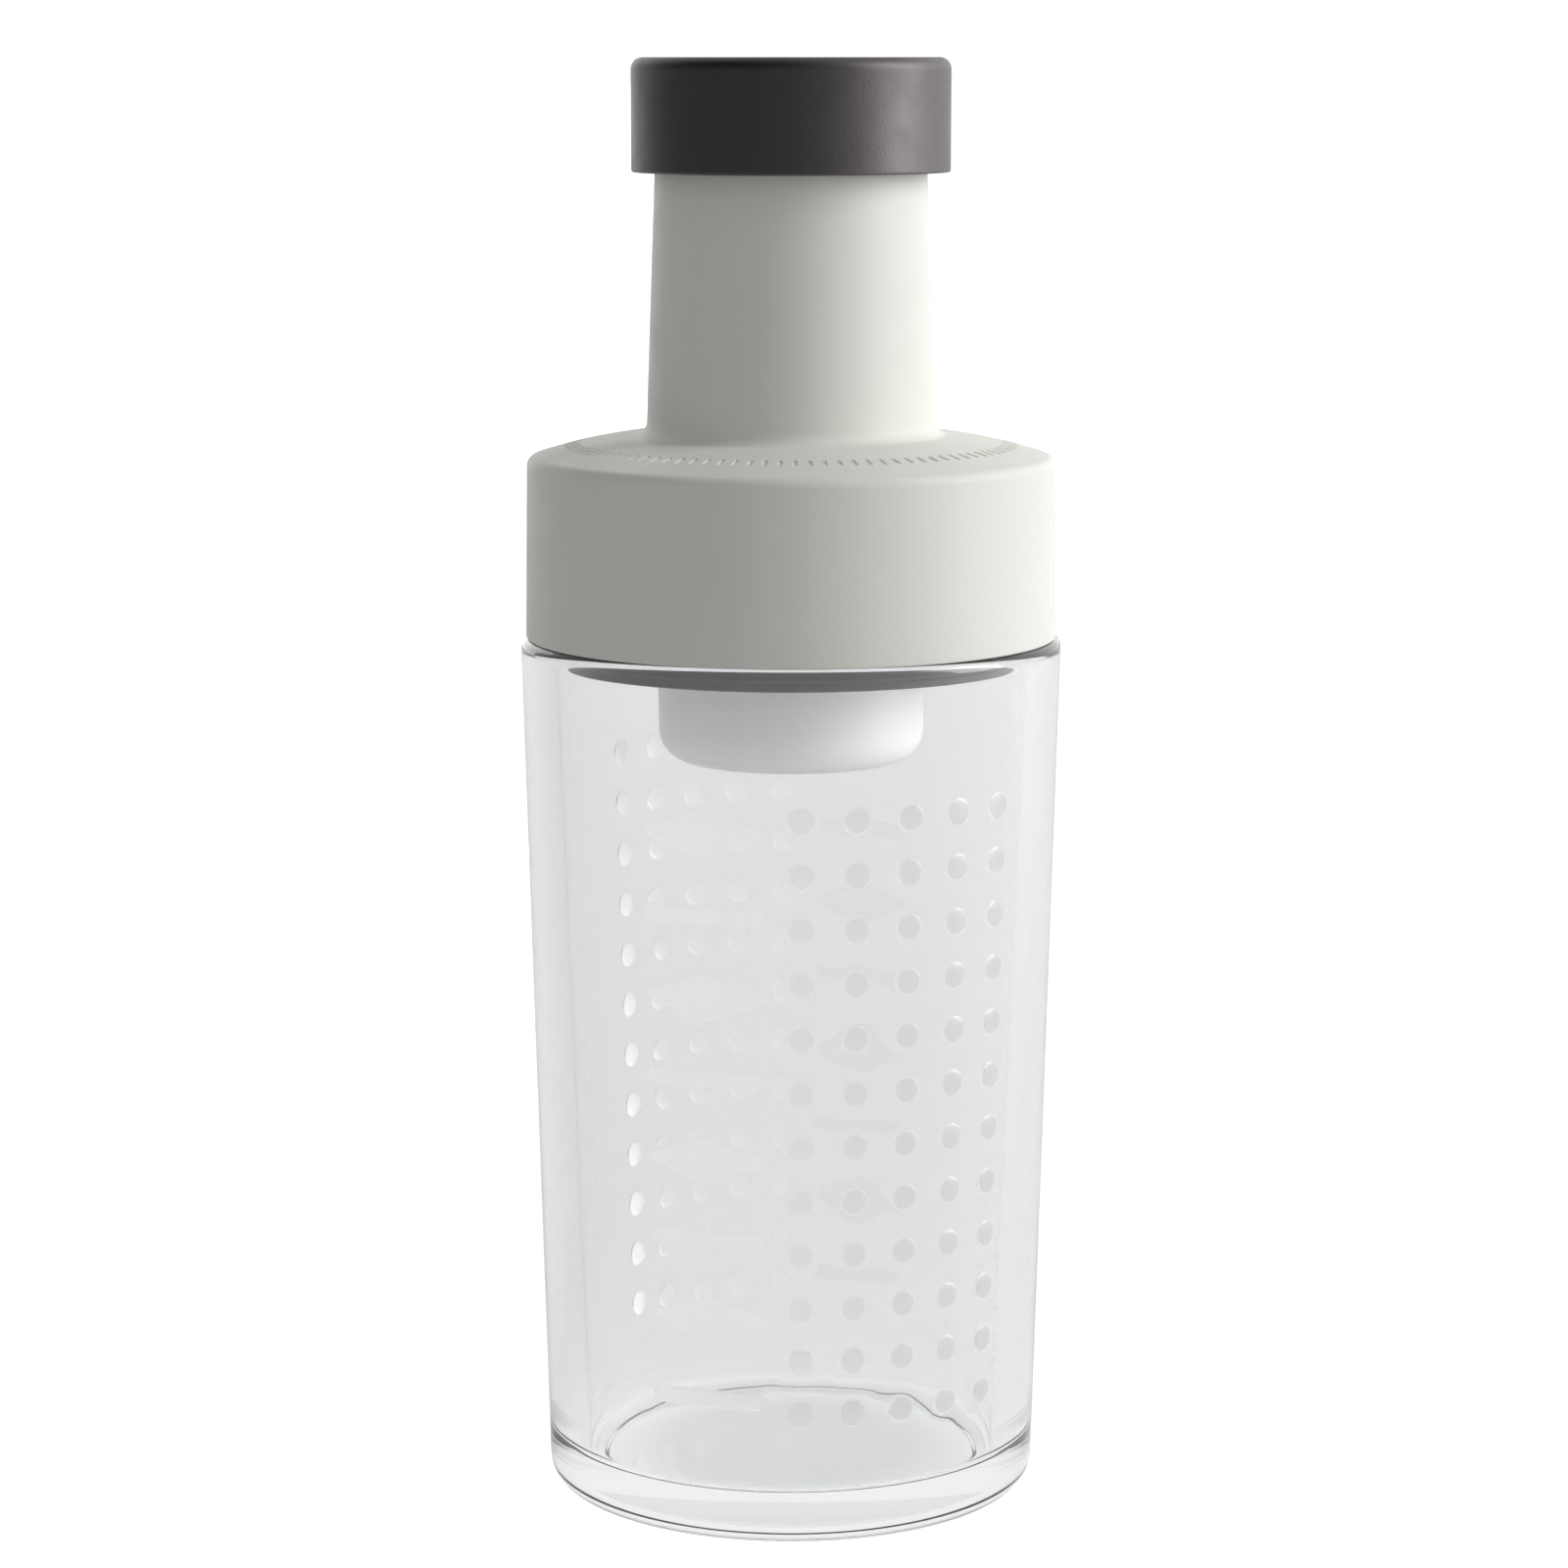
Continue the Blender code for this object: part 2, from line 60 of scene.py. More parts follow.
BAND_AZIMUTH = math.radians(-18.8)
TURN_EDGES = 216
BAND_EDGES = 18
DOT_EDGES = 7
DOT_COLUMNS = 5
ROW_EDGES = 4
ROWS = 12
ROW_PITCH = 0.006928
RELIEF_LOW = 0.01423
RELIEF_HIGH = RELIEF_LOW + ROWS * ROW_PITCH
RELIEF_RADIUS = 0.0335
# Each ring of a dot has its radius and how far it stands out.
DOT_RINGS = ((0.0005, 0.00019), (0.0010, 0.000175), (0.00132, 0.00014),
             (0.00154, 0.00009), (0.00170, 0.000035), (0.00182, 0.000005), (0.0019, 0.0))
MARKS = 8
MARK_EDGES = ROWS * ROW_EDGES // MARKS
MARK_LENGTH = 0.0159
BAR_HEIGHT = 0.0024
LOZENGE_HEIGHT = 0.0066
LOZENGE_TIP = 0.0008
SPINE_SHARE = 0.94
# Each ring of a mark has how far in from the outline it lies and how far it stands out.
MARK_RINGS = ((0.00070, 0.00006), (0.00036, 0.00006), (0.00018, 0.00004), (0.00005, 0.0), (0.0, 0.0))

GLASS_IOR = 1.49
GLASS_COLOUR = (0.966, 0.972, 0.978, 1.0)
# Painted light: the colour of the satin relief, without the glass's tint, so it reads a touch lighter.
SATIN_PAINTED_LIGHT_COLOUR = (1.0, 1.0, 1.0, 1.0)
# Painted shade: the tint that darkens the satin marks on the back right of the jar.
BACK_MARK_PAINTED_SHADE = (0.90, 0.905, 0.91)
# Painted shade: the grey of the front dots, half of it left of the middle and all of it further right.
DOT_PAINTED_SHADE_COLOUR = (0.74, 0.745, 0.75)
DOT_SHADE_LEAST = 0.5
DOT_SHADE_REACH = 0.018
SIDE_BLEND = 0.001
SATIN_START = 0.000015
SATIN_FULL = 0.00004
DOT_TOP_START = 0.00007
DOT_TOP_FULL = 0.0001
RELIEF_ROUGHNESS = 0.32
POLISH_ROUGHNESS = 0.012
POLISH_LUMP = 0.004
WAVE_LUMP = 0.012
WAVE_DEPTH = 0.000012
# Painted highlight: dot tops left of this edge get a white matt share, which the lamps light as a glint.
LIT_DOTS_EDGE = -0.0225
LIT_DOTS_BLEND = 0.0003
LIT_DOTS_SHARE = 0.5
LIT_DOTS_COLOUR = (1.0, 1.0, 1.0, 1.0)
LAMP_TINT = (0.99, 0.99, 0.99, 1.0)

ARC_STEP = math.radians(7.5)
MOST_OF_FLAT = 0.499
FLAT_GUARD = 0.0003
MERGE = 0.000004
SEED_SIZE = 0.001
TURN_STEPS = 192
SMOOTH_ANGLE = math.radians(50)


def corner_arc(before, here, after, rounding):
    """Points of the arc that rounds a corner, and a guard on each flat beside it for even shading."""
    to_before = Vector(before) - Vector(here)
    to_after = Vector(after) - Vector(here)
    half_angle = to_before.angle(to_after) / 2
    tangent = min(rounding / math.tan(half_angle), MOST_OF_FLAT * min(to_before.length, to_after.length))
    radius = tangent * math.tan(half_angle)
    bisector = (to_before.normalized() + to_after.normalized()).normalized()
    centre = Vector(here) + bisector * (radius / math.sin(half_angle))
    first = Vector(here) + to_before.normalized() * tangent - centre
    last = Vector(here) + to_after.normalized() * tangent - centre
    start = math.atan2(first.y, first.x)
    sweep = (math.atan2(last.y, last.x) - start + math.pi) % math.tau - math.pi
    count = max(3, math.ceil(abs(sweep) / ARC_STEP))
    points = [(centre.x + radius * math.cos(start + sweep * step / count),
               centre.y + radius * math.sin(start + sweep * step / count)) for step in range(count + 1)]
    for flat, end in ((to_before, 0), (to_after, len(points) + 1)):
        guard = min(FLAT_GUARD, (flat.length / 2 - tangent) / 2)
        if guard > 3 * MERGE:
            points.insert(end, tuple(Vector(here) + flat.normalized() * (tangent + guard)))
    return points


def rounded(corners, closed):
    """Points of a profile given as corners of radius, level and rounding."""
    points = []
    for index, (radius, level, rounding) in enumerate(corners):
        if rounding == 0.0:
            points.append((radius, level))
            continue
        before = corners[index - 1][:2]
        after = corners[(index + 1) % len(corners)][:2]
        points += corner_arc(before, (radius, level), after, rounding)
    if closed:
        points.append(points[0])
    return points


def open_mesh(name):
    """Name the primitive that was just added, put its place in its mesh, and open it for editing."""
    piece = bpy.context.object
    piece.name = name
    piece.data.name = name
    bpy.ops.object.transform_apply(location=True, rotation=True, scale=True)
    bpy.ops.object.mode_set(mode="EDIT")
    return piece


def close_mesh():
    """Merge the seams of the open mesh, turn its faces outwards and leave edit mode."""
    bpy.ops.mesh.select_all(action="SELECT")
    bpy.ops.mesh.remove_doubles(threshold=MERGE)
    bpy.ops.mesh.normals_make_consistent(inside=False)
    bpy.ops.object.mode_set(mode="OBJECT")


def turned(name, corners, steps=TURN_STEPS, azimuth=math.pi / 2, closed=True):
    """Spin a profile round Z from one azimuth, which is 0 at the front and grows to the right."""
    spots = [Vector((radius * math.sin(azimuth), -radius * math.cos(azimuth), level))
             for radius, level in rounded(corners, closed)]
    bpy.ops.object.select_all(action="DESELECT")
    bpy.ops.mesh.primitive_plane_add(size=SEED_SIZE, location=spots[0])
    piece = open_mesh(name)
    bpy.ops.mesh.select_mode(type="VERT")
    bpy.ops.mesh.merge(type="CENTER")
    for here, after in zip(spots, spots[1:]):
        bpy.ops.mesh.extrude_vertices_move(TRANSFORM_OT_translate={"value": after - here})
    bpy.ops.mesh.select_all(action="SELECT")
    bpy.ops.mesh.spin(steps=steps, angle=math.tau, center=(0, 0, 0), axis=(0, 0, 1))
    close_mesh()
    return piece


def select_only(*pieces):
    """Select these pieces alone, with the first one active."""
    bpy.ops.object.select_all(action="DESELECT")
    for piece in pieces:
        piece.select_set(True)
    bpy.context.view_layer.objects.active = pieces[0]


def tile_border(width, height, across, upright):
    """Spots round a tile's edge, anticlockwise from the middle of its right side."""
    spots = [(width / 2, height * step / upright) for step in range(upright // 2)]
    spots += [(width / 2 - width * step / across, height / 2) for step in range(across)]
    spots += [(-width / 2, height / 2 - height * step / upright) for step in range(upright)]
    spots += [(-width / 2 + width * step / across, -height / 2) for step in range(across)]
    spots += [(width / 2, -height / 2 + height * step / upright) for step in range(upright // 2)]
    return [(across_at, up_at, 0.0) for across_at, up_at in spots]


def relief_tile(name, rings, fill):
    """Raised tile in the XZ plane, which faces -Y, grown ring by ring from a circle to its border."""
    bpy.ops.object.select_all(action="DESELECT")
    bpy.ops.mesh.primitive_circle_add(vertices=len(rings[0]), radius=SEED_SIZE, fill_type=fill,
                                      location=(0, -rings[0][0][2], 0), rotation=(math.pi / 2, 0, 0))
    tile = open_mesh(name)
    bpy.ops.mesh.select_all(action="SELECT")
    if fill != "NOTHING":
        bpy.ops.mesh.region_to_loop()
    bpy.ops.object.mode_set(mode="OBJECT")
    loop = [vertex for vertex in tile.data.vertices if vertex.select]
    loop.sort(key=lambda vertex: math.atan2(vertex.co.z, vertex.co.x) % math.tau)
    places = {vertex.index: place for place, vertex in enumerate(loop)}
    for ring in rings:
        for index, place in places.items():
            across_at, up_at, raised = ring[place]
            tile.data.vertices[index].co = (across_at, -raised, up_at)
        if ring is rings[-1]:
            break
        bpy.ops.object.mode_set(mode="EDIT")
        bpy.ops.mesh.extrude_edges_move()
        bpy.ops.object.mode_set(mode="OBJECT")
        grown = {}
        for edge in tile.data.edges:
            for inner, outer in (tuple(edge.vertices), tuple(reversed(edge.vertices))):
                if inner in places and outer not in places and tile.data.vertices[outer].select:
                    grown[outer] = places[inner]
        places = grown
    return tile


def repeated(tile, columns, rows, column_pitch, row_pitch):
    """Array a tile into a sheet, with its doubles merged."""
    select_only(tile)
    for count, offset in ((columns, (column_pitch, 0, 0)), (rows, (0, 0, row_pitch))):
        array = tile.modifiers.new("repeat", "ARRAY")
        array.count = count
        array.use_relative_offset = False
        array.use_constant_offset = True
        array.constant_offset_displace = offset
        array.use_merge_vertices = True
        array.merge_threshold = MERGE
        bpy.ops.object.modifier_apply(modifier=array.name)


def shift(piece, offset):
    """Move a piece's mesh and leave its object at the origin."""
    select_only(piece)
    bpy.ops.transform.translate(value=offset)
    bpy.ops.object.transform_apply(location=True)


# The relief is a flat sheet of tiles for half a turn, doubled, and then wrapped round the tapered wall.
edge_width = math.tau / TURN_EDGES * RELIEF_RADIUS
band_width = BAND_EDGES * edge_width
column_width = DOT_EDGES * edge_width
bare_edges = TURN_EDGES // 2 - BAND_EDGES - DOT_COLUMNS * DOT_EDGES
bare_width = bare_edges * edge_width
mark_pitch = ROWS * ROW_PITCH / MARKS

dot_corners = 2 * (DOT_EDGES + ROW_EDGES)
dot_turns = [math.tau * step / dot_corners for step in range(dot_corners)]
dot_rings = [[(radius * math.cos(turn), radius * math.sin(turn), raised) for turn in dot_turns]
             for radius, raised in DOT_RINGS]
dot_rings.append(tile_border(column_width, ROW_PITCH, DOT_EDGES, ROW_EDGES))
dots = relief_tile("dots", dot_rings, "TRIFAN")
repeated(dots, DOT_COLUMNS, ROWS, column_width, ROW_PITCH)
shift(dots, ((band_width + column_width) / 2, 0, RELIEF_LOW + ROW_PITCH / 2))


def mark_outline(length, height, tip, inset):
    """Spots round a bar or lozenge with rounded tips, drawn in by an inset, as many as its border has."""
    across = BAND_EDGES
    upright = MARK_EDGES
    reach = length / 2 - tip
    tip = tip - inset
    spots = []
    for side in (1, -1):
        for step in range(upright // 2):
            turn = math.pi / 2 * step / (upright // 2)
            spots.append((side * (reach + tip * math.cos(turn)), side * tip * math.sin(turn)))
        for step in range(across):
            along = reach - 2 * reach * step / across
            rise = tip + (height / 2 - inset - tip) * (1 - abs(along) / reach)
            spots.append((side * along, side * rise))
        for step in range(upright // 2):
            turn = math.pi / 2 * step / (upright // 2)
            spots.append((-side * (reach + tip * math.sin(turn)), side * tip * math.cos(turn)))
    return spots


def mark_tile(name, height, tip):
    """Tile of the upright band that bears one bar or lozenge."""
    outlines = [[(*spot, raised) for spot in mark_outline(MARK_LENGTH, height, tip, inset)]
                for inset, raised in MARK_RINGS]
    spine = [(across_at * SPINE_SHARE, 0.0, MARK_RINGS[0][1]) for across_at, up_at, raised in outlines[0]]
    border = tile_border(band_width, mark_pitch, BAND_EDGES, MARK_EDGES)
    return relief_tile(name, [spine, *outlines, border], "NOTHING")


bar = mark_tile("bar", BAR_HEIGHT, BAR_HEIGHT / 2)
lozenge = mark_tile("lozenge", LOZENGE_HEIGHT, LOZENGE_TIP)
shift(lozenge, (0, 0, mark_pitch))
select_only(bar, lozenge)
bpy.ops.object.join()
repeated(bar, 1, MARKS // 2, band_width, 2 * mark_pitch)
shift(bar, (0, 0, RELIEF_LOW + mark_pitch / 2))

bpy.ops.object.select_all(action="DESELECT")
bpy.ops.mesh.primitive_grid_add(
    x_subdivisions=bare_edges, y_subdivisions=ROWS * ROW_EDGES, size=1.0, rotation=(math.pi / 2, 0, 0),
    location=((band_width + bare_width) / 2 + DOT_COLUMNS * column_width, 0, (RELIEF_LOW + RELIEF_HIGH) / 2))
bpy.context.object.scale = (bare_width, RELIEF_HIGH - RELIEF_LOW, 1.0)
bare = open_mesh("bare")
bpy.ops.object.mode_set(mode="OBJECT")
select_only(dots, bar, bare)
bpy.ops.object.join()
repeated(dots, 2, 1, TURN_EDGES // 2 * edge_width, ROW_PITCH)


def jar_radius(level):
    """Radius of the jar's tapered outside."""
    return JAR_FOOT_RADIUS + (JAR_TOP_RADIUS - JAR_FOOT_RADIUS) * level / JAR_HEIGHT


for vertex in dots.data.vertices:
    azimuth = BAND_AZIMUTH + vertex.co.x / RELIEF_RADIUS
    radius = jar_radius(vertex.co.z) - vertex.co.y
    vertex.co = (radius * math.sin(azimuth), -radius * math.cos(azimuth), vertex.co.z)

jar = turned("jar", [
    (jar_radius(RELIEF_HIGH), RELIEF_HIGH, 0.0),
    (JAR_TOP_RADIUS, JAR_HEIGHT, RIM_ROUND_OUTSIDE),
    (JAR_BORE_RADIUS, JAR_HEIGHT, RIM_ROUND_INSIDE),
    (JAR_FLOOR_RADIUS, JAR_FLOOR_LEVEL, FLOOR_ROUND),
    (0.0, JAR_FLOOR_LEVEL, 0.0),
], TURN_EDGES, BAND_AZIMUTH, closed=False)
foot = turned("foot", [
    (jar_radius(RELIEF_LOW), RELIEF_LOW, 0.0),
    (JAR_FOOT_RADIUS, 0.0, HEEL_ROUND),
    (FOOT_RING_INNER, 0.0, FOOT_RING_ROUND),
    (FOOT_RING_INNER - 2 * FOOT_HOLLOW, FOOT_HOLLOW, FOOT_RING_ROUND),
    (0.0, FOOT_HOLLOW, 0.0),
], TURN_EDGES, BAND_AZIMUTH, closed=False)
select_only(jar, foot, dots)
bpy.ops.object.join()
bpy.ops.object.mode_set(mode="EDIT")
close_mesh()
bpy.ops.object.shade_smooth_by_angle(angle=SMOOTH_ANGLE)


def place(tree, kind, **settings):
    """Add a shader node of one kind to a tree and set its own fields."""
    node = tree.nodes.new("ShaderNode" + kind)
    for field, value in settings.items():
        setattr(node, field, value)
    return node


# Noise of scale 1 has lumps about this long, and most of its values lie between these two.
NOISE_LUMP = 0.5
CLOUD_LOW = 0.3
CLOUD_HIGH = 0.7


def cloud(tree, way, size, detail):
    """Noise in Object coordinates whose lumps measure about one size, in metres."""
    noise = place(tree, "TexNoise")
    noise.inputs["Scale"].default_value = NOISE_LUMP / size
    noise.inputs["Detail"].default_value = detail
    tree.links.new(way, noise.inputs["Vector"])
    return noise.outputs["Fac"]


def ramped(tree, value, start, end, low=0.0, high=1.0, easing="LINEAR"):
    """Ramp from low to high while a value goes from start to end, and level beyond them."""
    ramp = place(tree, "MapRange", interpolation_type=easing)
    ramp.inputs["From Min"].default_value = start
    ramp.inputs["From Max"].default_value = end
    ramp.inputs["To Min"].default_value = low
    ramp.inputs["To Max"].default_value = high
    tree.links.new(value, ramp.inputs["Value"])
    return ramp.outputs["Result"]


def between(tree, value, low, high):
    """Spread a cloud's middle range from one value to another."""
    return ramped(tree, value, CLOUD_LOW, CLOUD_HIGH, low, high)


def result_of(tree, operation, first, second):
    """Result of one Math node on two sockets."""
    maths = place(tree, "Math", operation=operation)
    tree.links.new(first, maths.inputs[0])
    tree.links.new(second, maths.inputs[1])
    return maths.outputs[0]


def tinted(tree, colour, share, tint):
    """Colour that goes over to a tint by a share from 0 to 1."""
    mix = place(tree, "Mix", data_type="RGBA")
    mix.inputs["B"].default_value = (*tint, 1.0)
    tree.links.new(colour, mix.inputs["A"])
    tree.links.new(share, mix.inputs["Factor"])
    return mix.outputs["Result"]


def bumped(tree, height, shader, depth):
    """Let a height from 0 to 1, over a depth in metres, tilt a shader's surface."""
    bump = place(tree, "Bump")
    bump.inputs["Strength"].default_value = 1.0
    bump.inputs["Distance"].default_value = depth
    tree.links.new(height, bump.inputs["Height"])
    tree.links.new(bump.outputs["Normal"], shader.inputs["Normal"])


def dress(piece, material, node, body):
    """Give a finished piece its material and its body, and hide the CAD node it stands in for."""
    piece.data.materials.clear()
    piece.data.materials.append(material)
    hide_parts(node)
    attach(piece, body)


# The glass is satin where the relief stands out, and painted a touch lighter there. Painted shade greys the
# front dots a little, more on the right, and darkens the marks on the back right. The dots furthest to the
# left carry a painted highlight, a white matt share in their glass that the lamps light. Lamps shine through
# the glass almost unweakened.
glass = bpy.data.materials.new("pressed_glass")
glass.use_nodes = True
tree = glass.node_tree
shader = tree.nodes["Principled BSDF"]
shader.inputs["Transmission Weight"].default_value = 1.0
shader.inputs["IOR"].default_value = GLASS_IOR
where = place(tree, "TexCoord").outputs["Object"]
level = place(tree, "SeparateXYZ")
tree.links.new(where, level.inputs[0])
wall = ramped(tree, level.outputs["Z"], 0.0, JAR_HEIGHT, JAR_FOOT_RADIUS, JAR_TOP_RADIUS)
outward = place(tree, "VectorMath", operation="MULTIPLY")
outward.inputs[1].default_value = (1.0, 1.0, 0.0)
tree.links.new(where, outward.inputs[0])
reach = place(tree, "VectorMath", operation="LENGTH")
tree.links.new(outward.outputs["Vector"], reach.inputs[0])
raised = result_of(tree, "SUBTRACT", reach.outputs["Value"], wall)
satin = ramped(tree, raised, SATIN_START, SATIN_FULL)
dot_tops = ramped(tree, raised, DOT_TOP_START, DOT_TOP_FULL)
# Painted light: the satin relief is left untinted, a touch lighter than the clear glass.
colour = place(tree, "Mix", data_type="RGBA")
colour.inputs["A"].default_value = GLASS_COLOUR
colour.inputs["B"].default_value = SATIN_PAINTED_LIGHT_COLOUR
tree.links.new(satin, colour.inputs["Factor"])
ahead = ramped(tree, level.outputs["Y"], -SIDE_BLEND, SIDE_BLEND, 1.0, 0.0)
# Painted shade: the satin marks behind and to the right are tinted darker.
behind = ramped(tree, level.outputs["Y"], -SIDE_BLEND, SIDE_BLEND)
back_right_shade_mask = result_of(tree, "MULTIPLY", behind, ramped(tree, level.outputs["X"], 0.0, 2 * SIDE_BLEND))
painted_shade_on_back_marks = result_of(tree, "MULTIPLY", satin, back_right_shade_mask)
colour_with_mark_shade = tinted(tree, colour.outputs["Result"], painted_shade_on_back_marks, BACK_MARK_PAINTED_SHADE)
# Painted shade: the tops of the front dots are greyed, by half left of the middle and fully towards the
# right.
front_dot_painted_shade = result_of(tree, "MULTIPLY", dot_tops, ahead)
dot_shade = ramped(tree, level.outputs["X"], 0.0, DOT_SHADE_REACH, DOT_SHADE_LEAST, 1.0)
shaded_dots = result_of(tree, "MULTIPLY", front_dot_painted_shade, dot_shade)
tree.links.new(tinted(tree, colour_with_mark_shade, shaded_dots, DOT_PAINTED_SHADE_COLOUR), shader.inputs["Base Color"])
polish = between(tree, cloud(tree, where, POLISH_LUMP, detail=3.0), 0.0, POLISH_ROUGHNESS)
mould_skin = ramped(tree, satin, 0.0, 1.0, 0.0, RELIEF_ROUGHNESS)
tree.links.new(result_of(tree, "ADD", polish, mould_skin), shader.inputs["Roughness"])
bumped(tree, cloud(tree, where, WAVE_LUMP, detail=1.0), shader, WAVE_DEPTH)
# Painted highlight: the dot tops furthest to the left get a white matt share in their glass, which the lamps
# light.
far_left_glint_mask = ramped(tree, level.outputs["X"], LIT_DOTS_EDGE - LIT_DOTS_BLEND, LIT_DOTS_EDGE + LIT_DOTS_BLEND,
                  LIT_DOTS_SHARE, 0.0)
painted_glint_matt = place(tree, "BsdfDiffuse")
painted_glint_matt.inputs["Color"].default_value = LIT_DOTS_COLOUR
glint_mix = place(tree, "MixShader")
tree.links.new(result_of(tree, "MULTIPLY", dot_tops, far_left_glint_mask), glint_mix.inputs["Fac"])
tree.links.new(shader.outputs["BSDF"], glint_mix.inputs[1])
tree.links.new(painted_glint_matt.outputs["BSDF"], glint_mix.inputs[2])
clear = place(tree, "BsdfTransparent")
clear.inputs["Color"].default_value = LAMP_TINT
lamp_way = place(tree, "MixShader")
tree.links.new(place(tree, "LightPath").outputs["Is Shadow Ray"], lamp_way.inputs["Fac"])
tree.links.new(glint_mix.outputs["Shader"], lamp_way.inputs[1])
tree.links.new(clear.outputs["BSDF"], lamp_way.inputs[2])
tree.links.new(lamp_way.outputs["Shader"], tree.nodes["Material Output"].inputs["Surface"])
dress(jar, glass, "glass_jar", "jar")


# Lid shell: one satin white moulding with a drum that covers the rim, a domed shoulder and a tall neck.
# The drum's lip rests just above the rim, the neck steps in under the cap, and a ring of small pressed-in
# ticks runs round the shoulder.

LID_SEAT = 0.1130
DRUM_RADIUS = 0.03428
DRUM_TOP_RADIUS = 0.0340
DRUM_HEIGHT = 0.0228
DRUM_BORE = 0.03128
LIP_BORE = 0.03208
LIP_LEDGE = 0.0023
LIP_END = -0.00018
LIP_HEEL = 0.0335
LIP_EDGE = -0.00042
SHOULDER_RISE = 0.0031
SHOULDER_CROWN = 0.0005
SHOULDER_WALL = 0.0022
SHOULDER_ROUND = 0.0014
LIP_ROUND = 0.00025
NECK_FOOT_LEVEL = DRUM_HEIGHT + SHOULDER_RISE
NECK_FOOT_RADIUS = 0.0186
NECK_FOOT_DROP = 0.0003
NECK_FOOT_ROUND = 0.0027
NECK_TOP_RADIUS = 0.0174
NECK_BORE = 0.0158
STOP_SEAT = 0.0176
SLEEVE_TOP = 0.0299
LEDGE_LEVEL = 0.0594
COLLAR_RADIUS = 0.0163
MOUTH_BORE = 0.0146
MOUTH_LEVEL = 0.06935
TICK_INNER = 0.0270
TICK_OUTER = 0.0293
TICK_DEPTH = 0.00018
TICK_BORDER = 0.00016
TICK_SLOPE = 0.00006
TICK_FACE_RISE = 0.5
DOME_RADII = (0.0222, 0.0233, 0.0245, 0.0257, TICK_INNER, TICK_OUTER, 0.0306)
LID_COLOUR = (0.79, 0.80, 0.745)
LID_SPECULAR = 0.4

FINE_ROUND = 0.0002
EDGE_ROUND = 0.0003
SOFT_ROUND = 0.0004


def shoulder_level(radius):
    """Level of the domed shoulder above the lid's seat."""
    share = (radius - NECK_FOOT_RADIUS) / (DRUM_TOP_RADIUS - NECK_FOOT_RADIUS)
    return NECK_FOOT_LEVEL - SHOULDER_RISE * share + 4 * SHOULDER_CROWN * share * (1 - share)


def raised_by(level, corners):
    """Corners of a profile moved up by one level."""
    return [(radius, level + height, rounding) for radius, height, rounding in corners]


lid = turned("lid", raised_by(LID_SEAT, [
    (COLLAR_RADIUS, MOUTH_LEVEL, SOFT_ROUND),
    (COLLAR_RADIUS, LEDGE_LEVEL, EDGE_ROUND),
    (NECK_TOP_RADIUS, LEDGE_LEVEL, EDGE_ROUND),
    (NECK_FOOT_RADIUS, NECK_FOOT_LEVEL - NECK_FOOT_DROP, NECK_FOOT_ROUND),
    *[(radius, shoulder_level(radius), 0.0) for radius in DOME_RADII],
    (DRUM_TOP_RADIUS, shoulder_level(DRUM_TOP_RADIUS), SHOULDER_ROUND),
    (DRUM_RADIUS, LIP_EDGE, LIP_ROUND),
    (LIP_HEEL, LIP_END, 0.0),
    (LIP_BORE, LIP_END, EDGE_ROUND),
    (LIP_BORE, LIP_LEDGE, FINE_ROUND),
    (DRUM_BORE, LIP_LEDGE, EDGE_ROUND),
    (DRUM_BORE, shoulder_level(DRUM_BORE) - SHOULDER_WALL, SHOULDER_ROUND),
    (STOP_SEAT, NECK_FOOT_LEVEL - SHOULDER_WALL, FINE_ROUND),
    (NECK_BORE, NECK_FOOT_LEVEL - SHOULDER_WALL, EDGE_ROUND),
    (NECK_BORE, SLEEVE_TOP, EDGE_ROUND),
    (MOUTH_BORE, MOUTH_LEVEL, SOFT_ROUND),
]))

select_only(lid)
bpy.ops.object.mode_set(mode="EDIT")
bpy.ops.mesh.select_mode(type="FACE")
bpy.ops.mesh.select_all(action="DESELECT")
bpy.ops.object.mode_set(mode="OBJECT")
for face in lid.data.polygons:
    reach = math.hypot(face.center.x, face.center.y)
    turn = math.atan2(face.center.y, face.center.x) % math.tau
    column = int(turn / math.tau * TURN_STEPS)
    face.select = TICK_INNER < reach < TICK_OUTER and face.normal.z > TICK_FACE_RISE and column % 2 == 0
bpy.ops.object.mode_set(mode="EDIT")
bpy.ops.mesh.inset(thickness=TICK_BORDER, use_individual=True)
bpy.ops.mesh.inset(thickness=TICK_SLOPE, depth=-TICK_DEPTH, use_individual=True)
bpy.ops.object.mode_set(mode="OBJECT")
bpy.ops.object.shade_smooth_by_angle(angle=SMOOTH_ANGLE)

# Fine grain, a slow drift of tone and a rubbed gloss, which all the moulded pieces share.
FLOW_LUMP = 0.009
RUB_LUMP = 0.0022
GRAIN_INPUTS = {"Colour": "NodeSocketColor", "Tone": "NodeSocketFloat", "Gloss Low": "NodeSocketFloat",
                "Gloss High": "NodeSocketFloat", "Grain Scale": "NodeSocketFloat"}
GRAIN_OUTPUTS = {"Colour": "NodeSocketColor", "Roughness": "NodeSocketFloat", "Height": "NodeSocketFloat"}

